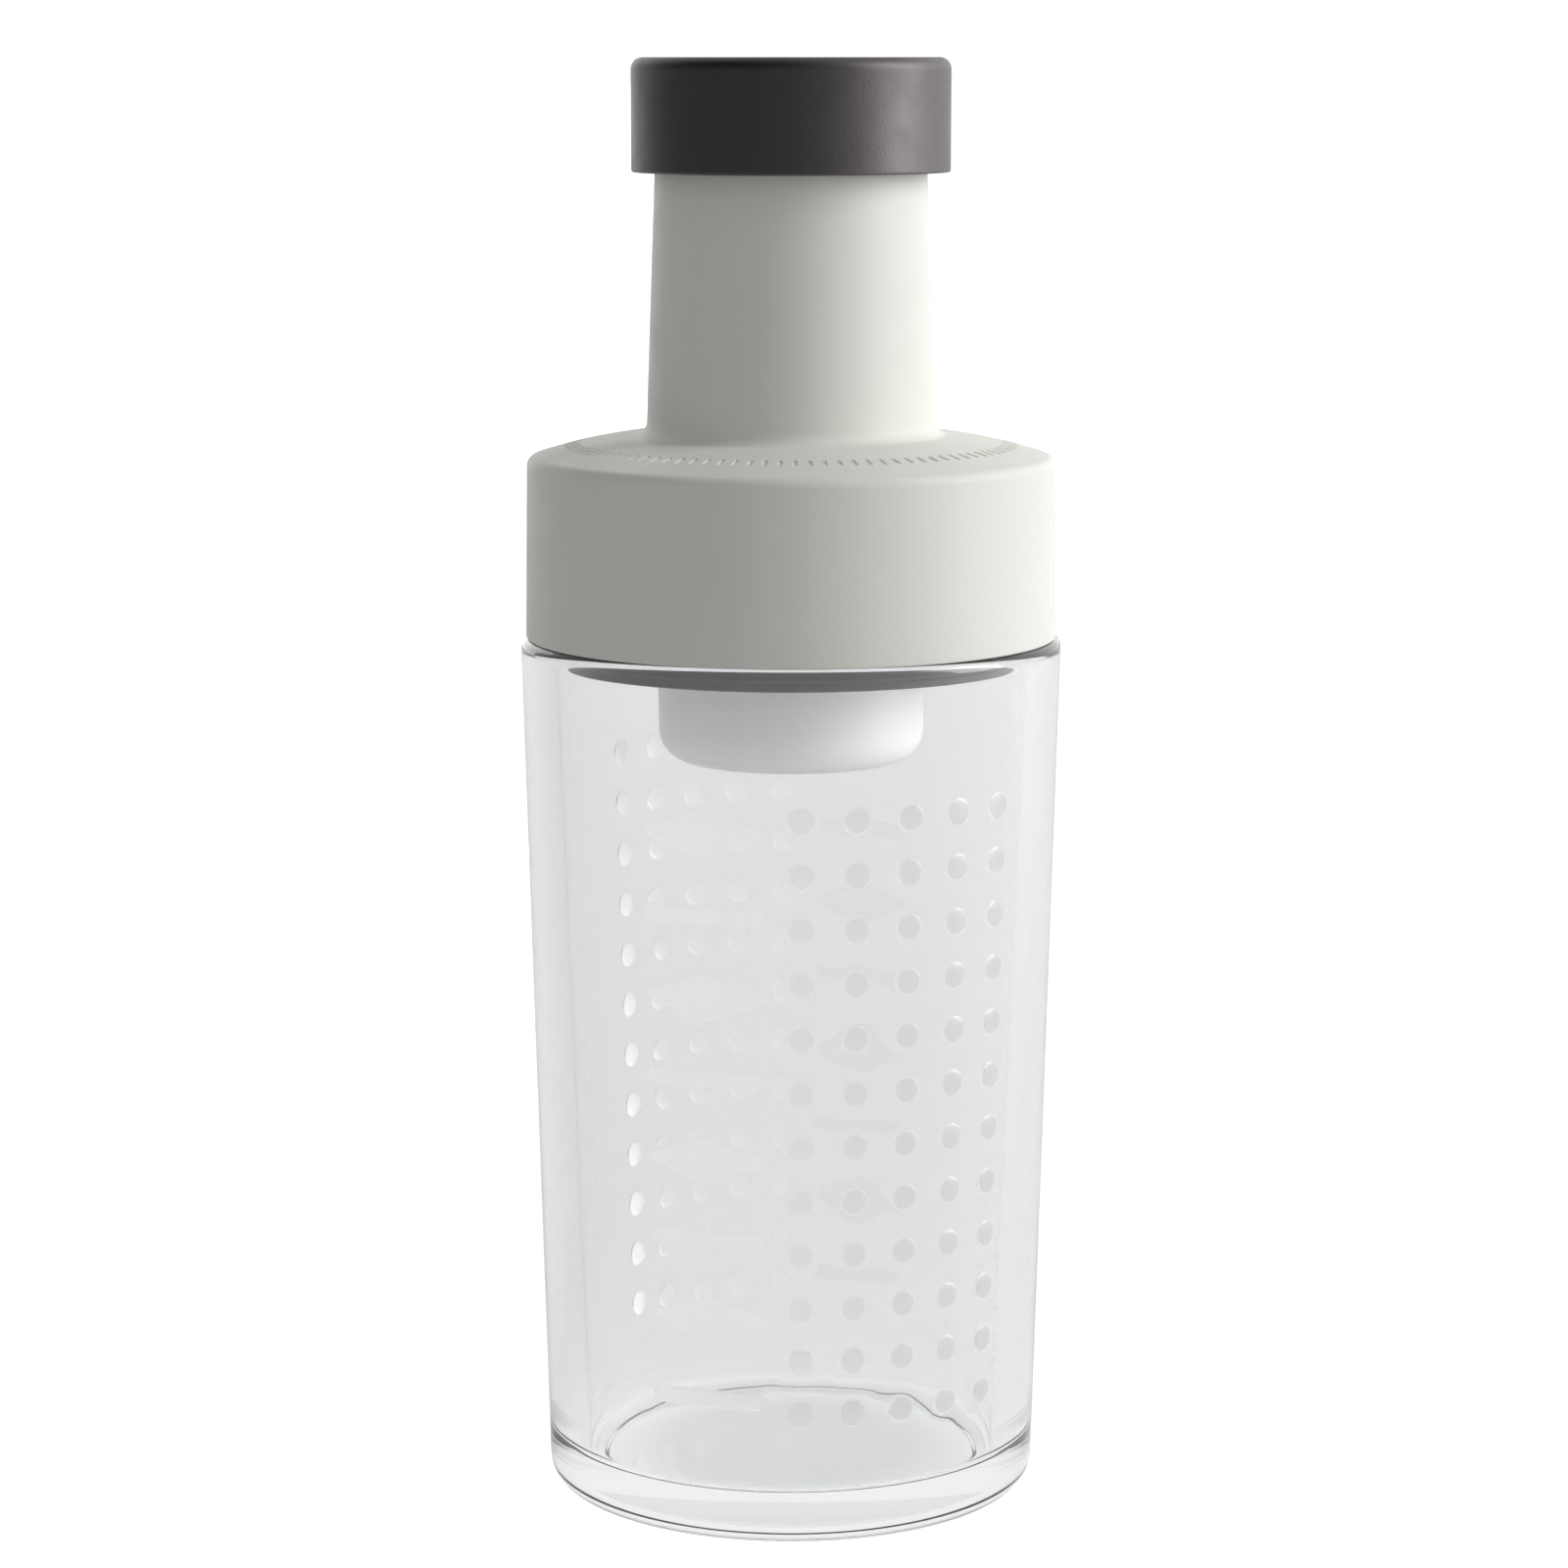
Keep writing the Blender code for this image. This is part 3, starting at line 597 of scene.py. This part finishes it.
grain_group = bpy.data.node_groups.new("moulded_grain", "ShaderNodeTree")
for name, kind in GRAIN_INPUTS.items():
    grain_group.interface.new_socket(name, in_out="INPUT", socket_type=kind)
for name, kind in GRAIN_OUTPUTS.items():
    grain_group.interface.new_socket(name, in_out="OUTPUT", socket_type=kind)
given = grain_group.nodes.new("NodeGroupInput")
made = grain_group.nodes.new("NodeGroupOutput")
where = place(grain_group, "TexCoord").outputs["Object"]
flow = cloud(grain_group, where, FLOW_LUMP, detail=3.0)
rubbed = cloud(grain_group, where, RUB_LUMP, detail=4.0)
grain = place(grain_group, "TexNoise")
grain.inputs["Detail"].default_value = 2.0
grain_group.links.new(where, grain.inputs["Vector"])
grain_group.links.new(given.outputs["Grain Scale"], grain.inputs["Scale"])
tone = place(grain_group, "Math", operation="MULTIPLY_ADD")
tone.inputs[2].default_value = 1.0
grain_group.links.new(between(grain_group, flow, -1.0, 1.0), tone.inputs[0])
grain_group.links.new(given.outputs["Tone"], tone.inputs[1])
toned = place(grain_group, "HueSaturation")
grain_group.links.new(given.outputs["Colour"], toned.inputs["Color"])
grain_group.links.new(tone.outputs[0], toned.inputs["Value"])
grain_group.links.new(toned.outputs["Color"], made.inputs["Colour"])
gloss = place(grain_group, "MapRange")
gloss.inputs["From Min"].default_value = CLOUD_LOW
gloss.inputs["From Max"].default_value = CLOUD_HIGH
grain_group.links.new(rubbed, gloss.inputs["Value"])
grain_group.links.new(given.outputs["Gloss Low"], gloss.inputs["To Min"])
grain_group.links.new(given.outputs["Gloss High"], gloss.inputs["To Max"])
grain_group.links.new(gloss.outputs["Result"], made.inputs["Roughness"])
grain_group.links.new(grain.outputs["Fac"], made.inputs["Height"])


def moulded(name, colour, tone, gloss, grain_size, depth):
    """Material of a moulded piece, with grain, a slow drift of tone and a rubbed gloss."""
    material = bpy.data.materials.new(name)
    material.use_nodes = True
    tree = material.node_tree
    shader = tree.nodes["Principled BSDF"]
    finish = tree.nodes.new("ShaderNodeGroup")
    finish.node_tree = grain_group
    finish.inputs["Colour"].default_value = (*colour, 1.0)
    finish.inputs["Tone"].default_value = tone
    finish.inputs["Gloss Low"].default_value = gloss[0]
    finish.inputs["Gloss High"].default_value = gloss[1]
    finish.inputs["Grain Scale"].default_value = NOISE_LUMP / grain_size
    tree.links.new(finish.outputs["Colour"], shader.inputs["Base Color"])
    tree.links.new(finish.outputs["Roughness"], shader.inputs["Roughness"])
    bumped(tree, finish.outputs["Height"], shader, depth)
    return material


lid_white = moulded("lid_white", LID_COLOUR, tone=0.012, gloss=(0.50, 0.60),
                    grain_size=0.00022, depth=0.000012)
lid_white.node_tree.nodes["Principled BSDF"].inputs["Specular IOR Level"].default_value = LID_SPECULAR
dress(lid, lid_white, "lid_shell", "lid")


# Lid plug: a white flange pushed into the drum, which rests on the jar's rim. Its grooved skirt carries the
# seal in the bore, and four spokes carry the socket that the dosing cup slides through.

PLUG_FLANGE = 0.03178
FLANGE_THICKNESS = 0.0020
GROOVE_RADIUS = 0.0276
SKIRT_RADIUS = 0.0284
SKIRT_BORE = 0.0264
SKIRT_END = -0.0037
GROOVE_END = -0.0031
SOCKET_BORE = 0.0176
SOCKET_OUTER = 0.0192
SOCKET_END = -0.0030
SPOKE_WIDTH = 0.0016
SPOKE_LOW = -0.0023
SPOKE_HIGH = 0.0013
SPOKE_ROUND = 0.0004
SKIRT_ROUND = 0.0005
GROOVE_ROUND = 0.0001
BEVEL_SEGMENTS = 5
PIERCED_SMOOTH_ANGLE = math.radians(40)
INNER_COLOUR = (0.94, 0.93, 0.895)
INNER_TRANSLUCENCE = 0.4
INNER_SCATTER_LENGTH = 0.003

plug = turned("plug", raised_by(LID_SEAT, [
    (PLUG_FLANGE, FLANGE_THICKNESS, EDGE_ROUND),
    (PLUG_FLANGE, 0.0, EDGE_ROUND),
    (GROOVE_RADIUS, 0.0, FINE_ROUND),
    (GROOVE_RADIUS, GROOVE_END, GROOVE_ROUND),
    (SKIRT_RADIUS, GROOVE_END, GROOVE_ROUND),
    (SKIRT_RADIUS, SKIRT_END, FINE_ROUND),
    (SKIRT_BORE, SKIRT_END, SOFT_ROUND),
    (SKIRT_BORE, FLANGE_THICKNESS, SKIRT_ROUND),
]))
socket = turned("socket", raised_by(LID_SEAT, [
    (SOCKET_OUTER, FLANGE_THICKNESS, EDGE_ROUND),
    (SOCKET_OUTER, SOCKET_END, EDGE_ROUND),
    (SOCKET_BORE, SOCKET_END, EDGE_ROUND),
    (SOCKET_BORE, FLANGE_THICKNESS, EDGE_ROUND),
]))


def combine(piece, tool, operation):
    """Join a tool to a piece or cut it out, and remove the tool."""
    select_only(piece)
    boolean = piece.modifiers.new("combine", "BOOLEAN")
    boolean.operation = operation
    boolean.solver = "EXACT"
    boolean.object = tool
    bpy.ops.object.modifier_apply(modifier=boolean.name)
    bpy.data.objects.remove(tool, do_unlink=True)


def radial_block(name, inner, outer, low, high, width, turn, rounding):
    """Block with rounded edges along one radius, turned about Z in its mesh."""
    bpy.ops.object.select_all(action="DESELECT")
    bpy.ops.mesh.primitive_cube_add(size=1.0, location=((inner + outer) / 2, 0.0, (low + high) / 2),
                                    scale=(outer - inner, width, high - low))
    block = open_mesh(name)
    bpy.ops.mesh.select_all(action="DESELECT")
    bpy.ops.mesh.select_mode(type="EDGE")
    bpy.ops.object.mode_set(mode="OBJECT")
    for edge in block.data.edges:
        first, last = (block.data.vertices[index].co for index in edge.vertices)
        edge.select = abs(first.x - last.x) > (outer - inner) / 2
    bpy.ops.object.mode_set(mode="EDIT")
    bpy.ops.mesh.bevel(offset=rounding, segments=BEVEL_SEGMENTS)
    bpy.ops.object.mode_set(mode="OBJECT")
    block.rotation_euler.z = turn
    bpy.ops.object.transform_apply(rotation=True)
    return block


for quarter in range(4):
    spoke = radial_block("spoke", (SOCKET_BORE + SOCKET_OUTER) / 2, (SKIRT_BORE + GROOVE_RADIUS) / 2,
                         LID_SEAT + SPOKE_LOW, LID_SEAT + SPOKE_HIGH, SPOKE_WIDTH,
                         math.pi / 4 + quarter * math.pi / 2, SPOKE_ROUND)
    combine(plug, spoke, "UNION")
combine(plug, socket, "UNION")
select_only(plug)
bpy.ops.object.shade_smooth_by_angle(angle=PIERCED_SMOOTH_ANGLE)

inner_white = moulded("inner_white", INNER_COLOUR, tone=0.01, gloss=(0.34, 0.44),
                      grain_size=0.0004, depth=0.00001)
shader = inner_white.node_tree.nodes["Principled BSDF"]
shader.inputs["Subsurface Weight"].default_value = INNER_TRANSLUCENCE
shader.inputs["Subsurface Scale"].default_value = INNER_SCATTER_LENGTH
shader.inputs["Subsurface Radius"].default_value = (1.0, 1.0, 1.0)
dress(plug, inner_white, "lid_plug", "lid")


# Lid seal: a soft grey silicone ring in the skirt's groove, with two thin lips that wipe the jar's bore and a
# short apron over the skirt's end.

SEAL_INNER = 0.0279
SEAL_BASE = 0.0292
SEAL_TIP = 0.03035
SEAL_APRON = 0.0287
SEAL_TOP = -0.0003
SEAL_END = -0.0036
SEAL_INNER_END = -0.0028
# Each lip has its upper foot, the top and the bottom of its tip, and its lower foot.
SEAL_LIPS = ((-0.0005, -0.00072, -0.00112, -0.00136), (-0.00174, -0.00198, -0.00238, -0.0026))
SEAL_TIP_ROUND = 0.00012
SILICONE_COLOUR = (0.155, 0.155, 0.156)

lips = []
for upper_foot, tip_top, tip_bottom, lower_foot in SEAL_LIPS:
    lips += [(SEAL_BASE, upper_foot, GROOVE_ROUND), (SEAL_TIP, tip_top, SEAL_TIP_ROUND),
             (SEAL_TIP, tip_bottom, SEAL_TIP_ROUND), (SEAL_BASE, lower_foot, GROOVE_ROUND)]
seal = turned("seal", raised_by(LID_SEAT, [
    (SEAL_INNER, SEAL_TOP, GROOVE_ROUND),
    (SEAL_BASE, SEAL_TOP, FINE_ROUND),
    *lips,
    (SEAL_BASE, SEAL_END, FINE_ROUND),
    (SEAL_APRON, SEAL_END, FINE_ROUND),
    (SEAL_APRON, SEAL_INNER_END, GROOVE_ROUND),
    (SEAL_INNER, SEAL_INNER_END, GROOVE_ROUND),
]))
bpy.ops.object.shade_smooth_by_angle(angle=SMOOTH_ANGLE)
silicone = moulded("grey_silicone", SILICONE_COLOUR, tone=0.05, gloss=(0.40, 0.55),
                   grain_size=0.00012, depth=0.000008)
dress(seal, silicone, "lid_seal", "lid")


# Metering tube: a white sleeve pushed up into the neck against its stop, closed by a disc round a narrower
# tube that reaches down into the cup and ends in a flare.

SLEEVE_RADIUS = 0.0155
SLEEVE_BORE = 0.0140
SLEEVE_END = 0.0149
STOP_RADIUS = 0.0173
STOP_TOP = 0.0234
STOP_FOOT = 0.0222
DISC_UNDERSIDE = 0.0244
TUBE_RADIUS = 0.0088
TUBE_BORE = 0.0075
FLARE_RADIUS = 0.0126
FLARE_TOP = -0.0072
FLARE_EDGE = -0.0099
FLARE_END = -0.0106
FLARE_ROUND = 0.0010
DISC_ROUND = 0.0005
TUBE_ROOT_ROUND = 0.0006

tube = turned("tube", raised_by(LID_SEAT, [
    (SLEEVE_RADIUS, SLEEVE_TOP, EDGE_ROUND),
    (SLEEVE_RADIUS, STOP_TOP, FINE_ROUND),
    (STOP_RADIUS, STOP_TOP, FINE_ROUND),
    (STOP_RADIUS, STOP_FOOT, FINE_ROUND),
    (SLEEVE_RADIUS, STOP_FOOT, FINE_ROUND),
    (SLEEVE_RADIUS, SLEEVE_END, EDGE_ROUND),
    (SLEEVE_BORE, SLEEVE_END, EDGE_ROUND),
    (SLEEVE_BORE, DISC_UNDERSIDE, DISC_ROUND),
    (TUBE_RADIUS, DISC_UNDERSIDE, TUBE_ROOT_ROUND),
    (TUBE_RADIUS, FLARE_TOP, FLARE_ROUND),
    (FLARE_RADIUS, FLARE_EDGE, FINE_ROUND),
    (FLARE_RADIUS, FLARE_END, FINE_ROUND),
    (FLARE_RADIUS - TUBE_RADIUS + TUBE_BORE, FLARE_END, EDGE_ROUND),
    (TUBE_BORE, FLARE_TOP, FLARE_ROUND),
    (TUBE_BORE, NECK_FOOT_LEVEL, SOFT_ROUND),
    (SLEEVE_BORE, NECK_FOOT_LEVEL, DISC_ROUND),
    (SLEEVE_BORE, SLEEVE_TOP, EDGE_ROUND),
]))
bpy.ops.object.shade_smooth_by_angle(angle=SMOOTH_ANGLE)
dress(tube, inner_white, "metering_tube", "lid")


# Dosing cup: a smooth white cup, closed below, that hangs in the jar under the lid. Its open top slides over
# the sleeve, and four windows above the socket let the sugar in when the jar is turned over.

CUP_RADIUS = 0.0173
CUP_FOOT_RADIUS = 0.01715
CUP_WALL = 0.0015
CUP_BOTTOM = -0.0163
CUP_FOOT_ROUND = 0.0040
CUP_TOP = 0.0219
WINDOW_WIDTH = 0.0130
WINDOW_LOW = 0.0028
WINDOW_HIGH = 0.0141
WINDOW_INNER = 0.0100
WINDOW_ROUND = 0.0015

cup = turned("cup", raised_by(LID_SEAT, [
    (0.0, CUP_BOTTOM + CUP_WALL, 0.0),
    (CUP_FOOT_RADIUS - CUP_WALL, CUP_BOTTOM + CUP_WALL, CUP_FOOT_ROUND - CUP_WALL),
    (CUP_RADIUS - CUP_WALL, SOCKET_END, 0.0),
    (CUP_RADIUS - CUP_WALL, CUP_TOP, EDGE_ROUND),
    (CUP_RADIUS, CUP_TOP, EDGE_ROUND),
    (CUP_RADIUS, SOCKET_END, 0.0),
    (CUP_FOOT_RADIUS, CUP_BOTTOM, CUP_FOOT_ROUND),
    (0.0, CUP_BOTTOM, 0.0),
]), closed=False)
for quarter in range(4):
    window = radial_block("window", WINDOW_INNER, CUP_RADIUS + CUP_WALL,
                          LID_SEAT + WINDOW_LOW, LID_SEAT + WINDOW_HIGH, WINDOW_WIDTH,
                          quarter * math.pi / 2, WINDOW_ROUND)
    combine(cup, window, "DIFFERENCE")
select_only(cup)
bpy.ops.object.shade_smooth_by_angle(angle=PIERCED_SMOOTH_ANGLE)
dress(cup, inner_white, "dosing_cup", "cup")


# Cap: a dark, warm grey satin cover, wider than the neck, over a liner of the same plastic. The liner stands
# on the neck's ledge, and its plug, with a silicone ring in a groove, closes the mouth.

CAP_SEAT = 0.1721
CAP_RADIUS = 0.02038
CAP_BORE = 0.01858
CAP_HEIGHT = 0.01445
CAP_TOP = 0.0018
CAP_ROUND = 0.0015
CAP_BORE_ROUND = 0.0008
LINER_RADIUS = 0.01828
LINER_BORE = 0.0166
LINER_FOOT = 0.0006
LINER_TOP = 0.01235
LINER_UNDERSIDE = 0.01055
LINER_ROUND = 0.0005
CAP_PLUG_RADIUS = 0.0138
CAP_PLUG_BORE = 0.0118
CAP_PLUG_END = 0.00535
CAP_PLUG_ROOT_ROUND = 0.0006
GROOVE_INNER = 0.0127
GROOVE_REACH = 0.0012
RING_INNER = 0.0130
RING_OUTER = 0.0143
RING_LEVEL = 0.00795
RING_HEIGHT = 0.0018
RING_ROUND = 0.0006
CAP_COLOUR = (0.0052, 0.0043, 0.0046)
CAP_SPECULAR = 1.0
CAP_SPECULAR_TINT = (1.0, 0.92, 0.96, 1.0)
CAP_IOR = 1.65

cap = turned("cap", raised_by(CAP_SEAT, [
    (0.0, CAP_HEIGHT, 0.0),
    (CAP_RADIUS, CAP_HEIGHT, CAP_ROUND),
    (CAP_RADIUS, 0.0, EDGE_ROUND),
    (CAP_BORE, 0.0, FINE_ROUND),
    (CAP_BORE, CAP_HEIGHT - CAP_TOP, CAP_BORE_ROUND),
    (0.0, CAP_HEIGHT - CAP_TOP, 0.0),
]), closed=False)
bpy.ops.object.shade_smooth_by_angle(angle=SMOOTH_ANGLE)
cap_dark = moulded("cap_dark", CAP_COLOUR, tone=0.05, gloss=(0.48, 0.56),
                   grain_size=0.0002, depth=0.00002)
shader = cap_dark.node_tree.nodes["Principled BSDF"]
shader.inputs["Specular IOR Level"].default_value = CAP_SPECULAR
shader.inputs["Specular Tint"].default_value = CAP_SPECULAR_TINT
shader.inputs["IOR"].default_value = CAP_IOR
dress(cap, cap_dark, "cap_shell", "cap")

liner = turned("liner", raised_by(CAP_SEAT, [
    (0.0, LINER_TOP, 0.0),
    (LINER_RADIUS, LINER_TOP, LINER_ROUND),
    (LINER_RADIUS, LINER_FOOT, FINE_ROUND),
    (LINER_BORE, LINER_FOOT, EDGE_ROUND),
    (LINER_BORE, LINER_UNDERSIDE, LINER_ROUND),
    (CAP_PLUG_RADIUS, LINER_UNDERSIDE, EDGE_ROUND),
    (CAP_PLUG_RADIUS, RING_LEVEL + GROOVE_REACH, GROOVE_ROUND),
    (GROOVE_INNER, RING_LEVEL + GROOVE_REACH, GROOVE_ROUND),
    (GROOVE_INNER, RING_LEVEL - GROOVE_REACH, GROOVE_ROUND),
    (CAP_PLUG_RADIUS, RING_LEVEL - GROOVE_REACH, GROOVE_ROUND),
    (CAP_PLUG_RADIUS, CAP_PLUG_END, SOFT_ROUND),
    (CAP_PLUG_BORE, CAP_PLUG_END, EDGE_ROUND),
    (CAP_PLUG_BORE, LINER_UNDERSIDE, CAP_PLUG_ROOT_ROUND),
    (0.0, LINER_UNDERSIDE, 0.0),
]), closed=False)
bpy.ops.object.shade_smooth_by_angle(angle=SMOOTH_ANGLE)
dress(liner, cap_dark, "cap_liner", "cap")

ring = turned("ring", raised_by(CAP_SEAT, [
    (RING_INNER, RING_LEVEL + RING_HEIGHT / 2, FINE_ROUND),
    (RING_OUTER, RING_LEVEL + RING_HEIGHT / 2, RING_ROUND),
    (RING_OUTER, RING_LEVEL - RING_HEIGHT / 2, RING_ROUND),
    (RING_INNER, RING_LEVEL - RING_HEIGHT / 2, FINE_ROUND),
]))
bpy.ops.object.shade_smooth_by_angle(angle=SMOOTH_ANGLE)
dress(ring, silicone, "cap_seal", "cap")


# Set: a pale floor without a visible edge, one tall soft lamp on the right and two weak ones behind. What the
# glass and the gloss see of the room is white behind and on the right, and dimmer on the left and in front.

ROOM_STRENGTH = 0.33
ROOM_STRENGTH_INSIDE = 0.88
ROOM_DIM_MIRRORED = 0.03
ROOM_DIM_THROUGH = 0.80
ROOM_BRIGHT = 0.92
ROOM_OVERHEAD = 0.75
BRIGHT_AZIMUTH = math.radians(153)
BRIGHT_SIDE = (math.sin(BRIGHT_AZIMUTH), -math.cos(BRIGHT_AZIMUTH), 0.0)
BRIGHT_START = -0.25
BRIGHT_FULL = 0.45
OVERHEAD_START = 0.25
OVERHEAD_FULL = 0.8
FLOOR_SIZE = 60.0
FLOOR_LEVEL = -0.00005
FLOOR_COLOUR = (0.68, 0.68, 0.68, 1.0)
FLOOR_GLOW = 0.62
FLOOR_GLOW_THROUGH = 0.335
# Painted shadow: the share of glow that gloss and glass see of the floor under the middle of the jar.
FLOOR_GLOW_UNDER_JAR_SHADE = 0.10
FLOOR_GLOW_INDOORS = 0.35
FLOOR_GLOW_MIRRORED = 0.55
UNDER_FOOT = 0.016
PAST_FOOT = 0.028
FADE_START = 0.1
FADE_END = 0.6
WHITE = (1.0, 1.0, 1.0, 1.0)
# Each lamp's azimuth and elevation in degrees, its distance, width and length in metres, and its watts.
LAMPS = {"key_lamp": (86, 18, 2.2, 1.1, 2.5, 50.0),
         "rim_lamp": (146, 20, 1.8, 1.6, 1.4, 5.0),
         "back_lamp": (200, 10, 1.8, 1.4, 1.2, 6.0)}
LAMPS_AIM = Vector((0.0, 0.0, 0.1))


def by_ray(tree, is_ray, otherwise, wanted):
    """One value for a kind of ray and another for every other ray."""
    choice = place(tree, "Mix")
    choice.inputs["A"].default_value = otherwise
    choice.inputs["B"].default_value = wanted
    tree.links.new(is_ray, choice.inputs["Factor"])
    return choice.outputs["Result"]


def room_tone(tree, way, path):
    """Brightness of the room in a direction: white on one side, dim opposite, and less dim through glass."""
    level_way = place(tree, "VectorMath", operation="MULTIPLY")
    level_way.inputs[1].default_value = (1.0, 1.0, 0.0)
    tree.links.new(way, level_way.inputs[0])
    unit = place(tree, "VectorMath", operation="NORMALIZE")
    tree.links.new(level_way.outputs["Vector"], unit.inputs[0])
    facing = place(tree, "VectorMath", operation="DOT_PRODUCT")
    facing.inputs[1].default_value = BRIGHT_SIDE
    tree.links.new(unit.outputs["Vector"], facing.inputs[0])
    tone = place(tree, "MapRange", interpolation_type="SMOOTHSTEP")
    tone.inputs["From Min"].default_value = BRIGHT_START
    tone.inputs["From Max"].default_value = BRIGHT_FULL
    tone.inputs["To Max"].default_value = ROOM_BRIGHT
    dim = by_ray(tree, path.outputs["Is Transmission Ray"], ROOM_DIM_MIRRORED, ROOM_DIM_THROUGH)
    tree.links.new(dim, tone.inputs["To Min"])
    tree.links.new(facing.outputs["Value"], tone.inputs["Value"])
    return tone.outputs["Result"]


def mirrored_or_through(tree, path):
    """One for a ray that has met only gloss or glass, and nothing for one that has met a matt surface."""
    either = result_of(tree, "MAXIMUM", path.outputs["Is Glossy Ray"], path.outputs["Is Transmission Ray"])
    no_matt = ramped(tree, path.outputs["Diffuse Depth"], 0.0, 1.0, 1.0, 0.0)
    return result_of(tree, "MULTIPLY", either, no_matt)


# The floor glows for the camera, for gloss and glass, and for what stands inside the glass, and is matt.
bpy.ops.object.select_all(action="DESELECT")
bpy.ops.mesh.primitive_plane_add(size=FLOOR_SIZE, location=(0, 0, FLOOR_LEVEL))
floor = bpy.context.object
floor.name = "floor"
floor_white = bpy.data.materials.new("floor_white")
floor_white.use_nodes = True
tree = floor_white.node_tree
tree.nodes.remove(tree.nodes["Principled BSDF"])
matt = place(tree, "BsdfDiffuse")
matt.inputs["Color"].default_value = FLOOR_COLOUR
path = place(tree, "LightPath")
where = place(tree, "TexCoord").outputs["Object"]
distance = place(tree, "VectorMath", operation="LENGTH")
tree.links.new(where, distance.inputs[0])
# Painted shadow: the glow that gloss and glass see is dimmed under the jar, back to full just inside its
# heel.
painted_shade_under_jar = ramped(tree, distance.outputs["Value"], UNDER_FOOT, PAST_FOOT, FLOOR_GLOW_UNDER_JAR_SHADE, 1.0)
table = result_of(tree, "MULTIPLY", room_tone(tree, where, path), painted_shade_under_jar)
toned = result_of(tree, "MULTIPLY", mirrored_or_through(tree, path), table)
inside = by_ray(tree, path.outputs["Is Transmission Ray"], FLOOR_GLOW_MIRRORED, FLOOR_GLOW_THROUGH)
indoors = result_of(tree, "MULTIPLY", toned, inside)
faded = ramped(tree, distance.outputs["Value"], FADE_START, FADE_END, FLOOR_GLOW, 1.0)
open_view = result_of(tree, "MULTIPLY", path.outputs["Is Camera Ray"], faded)
onto_matt = result_of(tree, "MINIMUM", path.outputs["Is Transmission Ray"], path.outputs["Diffuse Depth"])
on_inner_pieces = ramped(tree, onto_matt, 0.0, 1.0, 0.0, FLOOR_GLOW_INDOORS)
through = result_of(tree, "MAXIMUM", indoors, on_inner_pieces)
glow = place(tree, "Emission")
tree.links.new(result_of(tree, "MAXIMUM", open_view, through), glow.inputs["Strength"])
both = place(tree, "AddShader")
tree.links.new(matt.outputs["BSDF"], both.inputs[0])
tree.links.new(glow.outputs["Emission"], both.inputs[1])
tree.links.new(both.outputs["Shader"], tree.nodes["Material Output"].inputs["Surface"])
floor.data.materials.append(floor_white)

# The surround is white to the camera, the room to gloss and glass, and one plain level to matt surfaces.
world = bpy.data.worlds.new("surround")
bpy.context.scene.world = world
world.use_nodes = True
tree = world.node_tree
way = place(tree, "TexCoord").outputs["Generated"]
height = place(tree, "SeparateXYZ")
tree.links.new(way, height.inputs[0])
path = place(tree, "LightPath")
overhead = ramped(tree, height.outputs["Z"], OVERHEAD_START, OVERHEAD_FULL, 1.0, ROOM_OVERHEAD, "SMOOTHSTEP")
through_glass = result_of(tree, "MAXIMUM", overhead, path.outputs["Is Transmission Ray"])
picture = result_of(tree, "MULTIPLY", room_tone(tree, way, path), through_glass)
on_matt = by_ray(tree, path.outputs["Is Transmission Ray"], ROOM_STRENGTH, ROOM_STRENGTH_INSIDE)
shown = place(tree, "Mix")
tree.links.new(mirrored_or_through(tree, path), shown.inputs["Factor"])
tree.links.new(on_matt, shown.inputs["A"])
tree.links.new(picture, shown.inputs["B"])
strength = result_of(tree, "MAXIMUM", path.outputs["Is Camera Ray"], shown.outputs["Result"])
background = tree.nodes["Background"]
background.inputs["Color"].default_value = WHITE
tree.links.new(strength, background.inputs["Strength"])

for name, (azimuth, elevation, distance, width, length, power) in LAMPS.items():
    azimuth = math.radians(azimuth)
    elevation = math.radians(elevation)
    lamp_data = bpy.data.lights.new(name, "AREA")
    lamp_data.shape = "RECTANGLE"
    lamp_data.size = width
    lamp_data.size_y = length
    lamp_data.energy = power
    lamp = bpy.data.objects.new(name, lamp_data)
    lamp.visible_transmission = False
    bpy.context.collection.objects.link(lamp)
    side = Vector((math.sin(azimuth) * math.cos(elevation), -math.cos(azimuth) * math.cos(elevation),
                   math.sin(elevation)))
    lamp.location = side * distance + LAMPS_AIM
    lamp.rotation_euler = side.to_track_quat("Z", "Y").to_euler()


# Camera: level with the top of the cap and looking slightly down, as in the photograph.

SENSOR_WIDTH = 36.0
LENS = 102.2
CAMERA_PLACE = (-0.0009, -0.5727, 0.1865)
CAMERA_TILT = math.radians(90 - 9.27)

camera_data = bpy.data.cameras.new("camera")
camera_data.sensor_width = SENSOR_WIDTH
camera_data.lens = LENS
camera = bpy.data.objects.new("camera", camera_data)
bpy.context.collection.objects.link(camera)
camera.location = CAMERA_PLACE
camera.rotation_euler = (CAMERA_TILT, 0.0, 0.0)
bpy.context.scene.camera = camera
bpy.context.scene.view_settings.view_transform = "Standard"
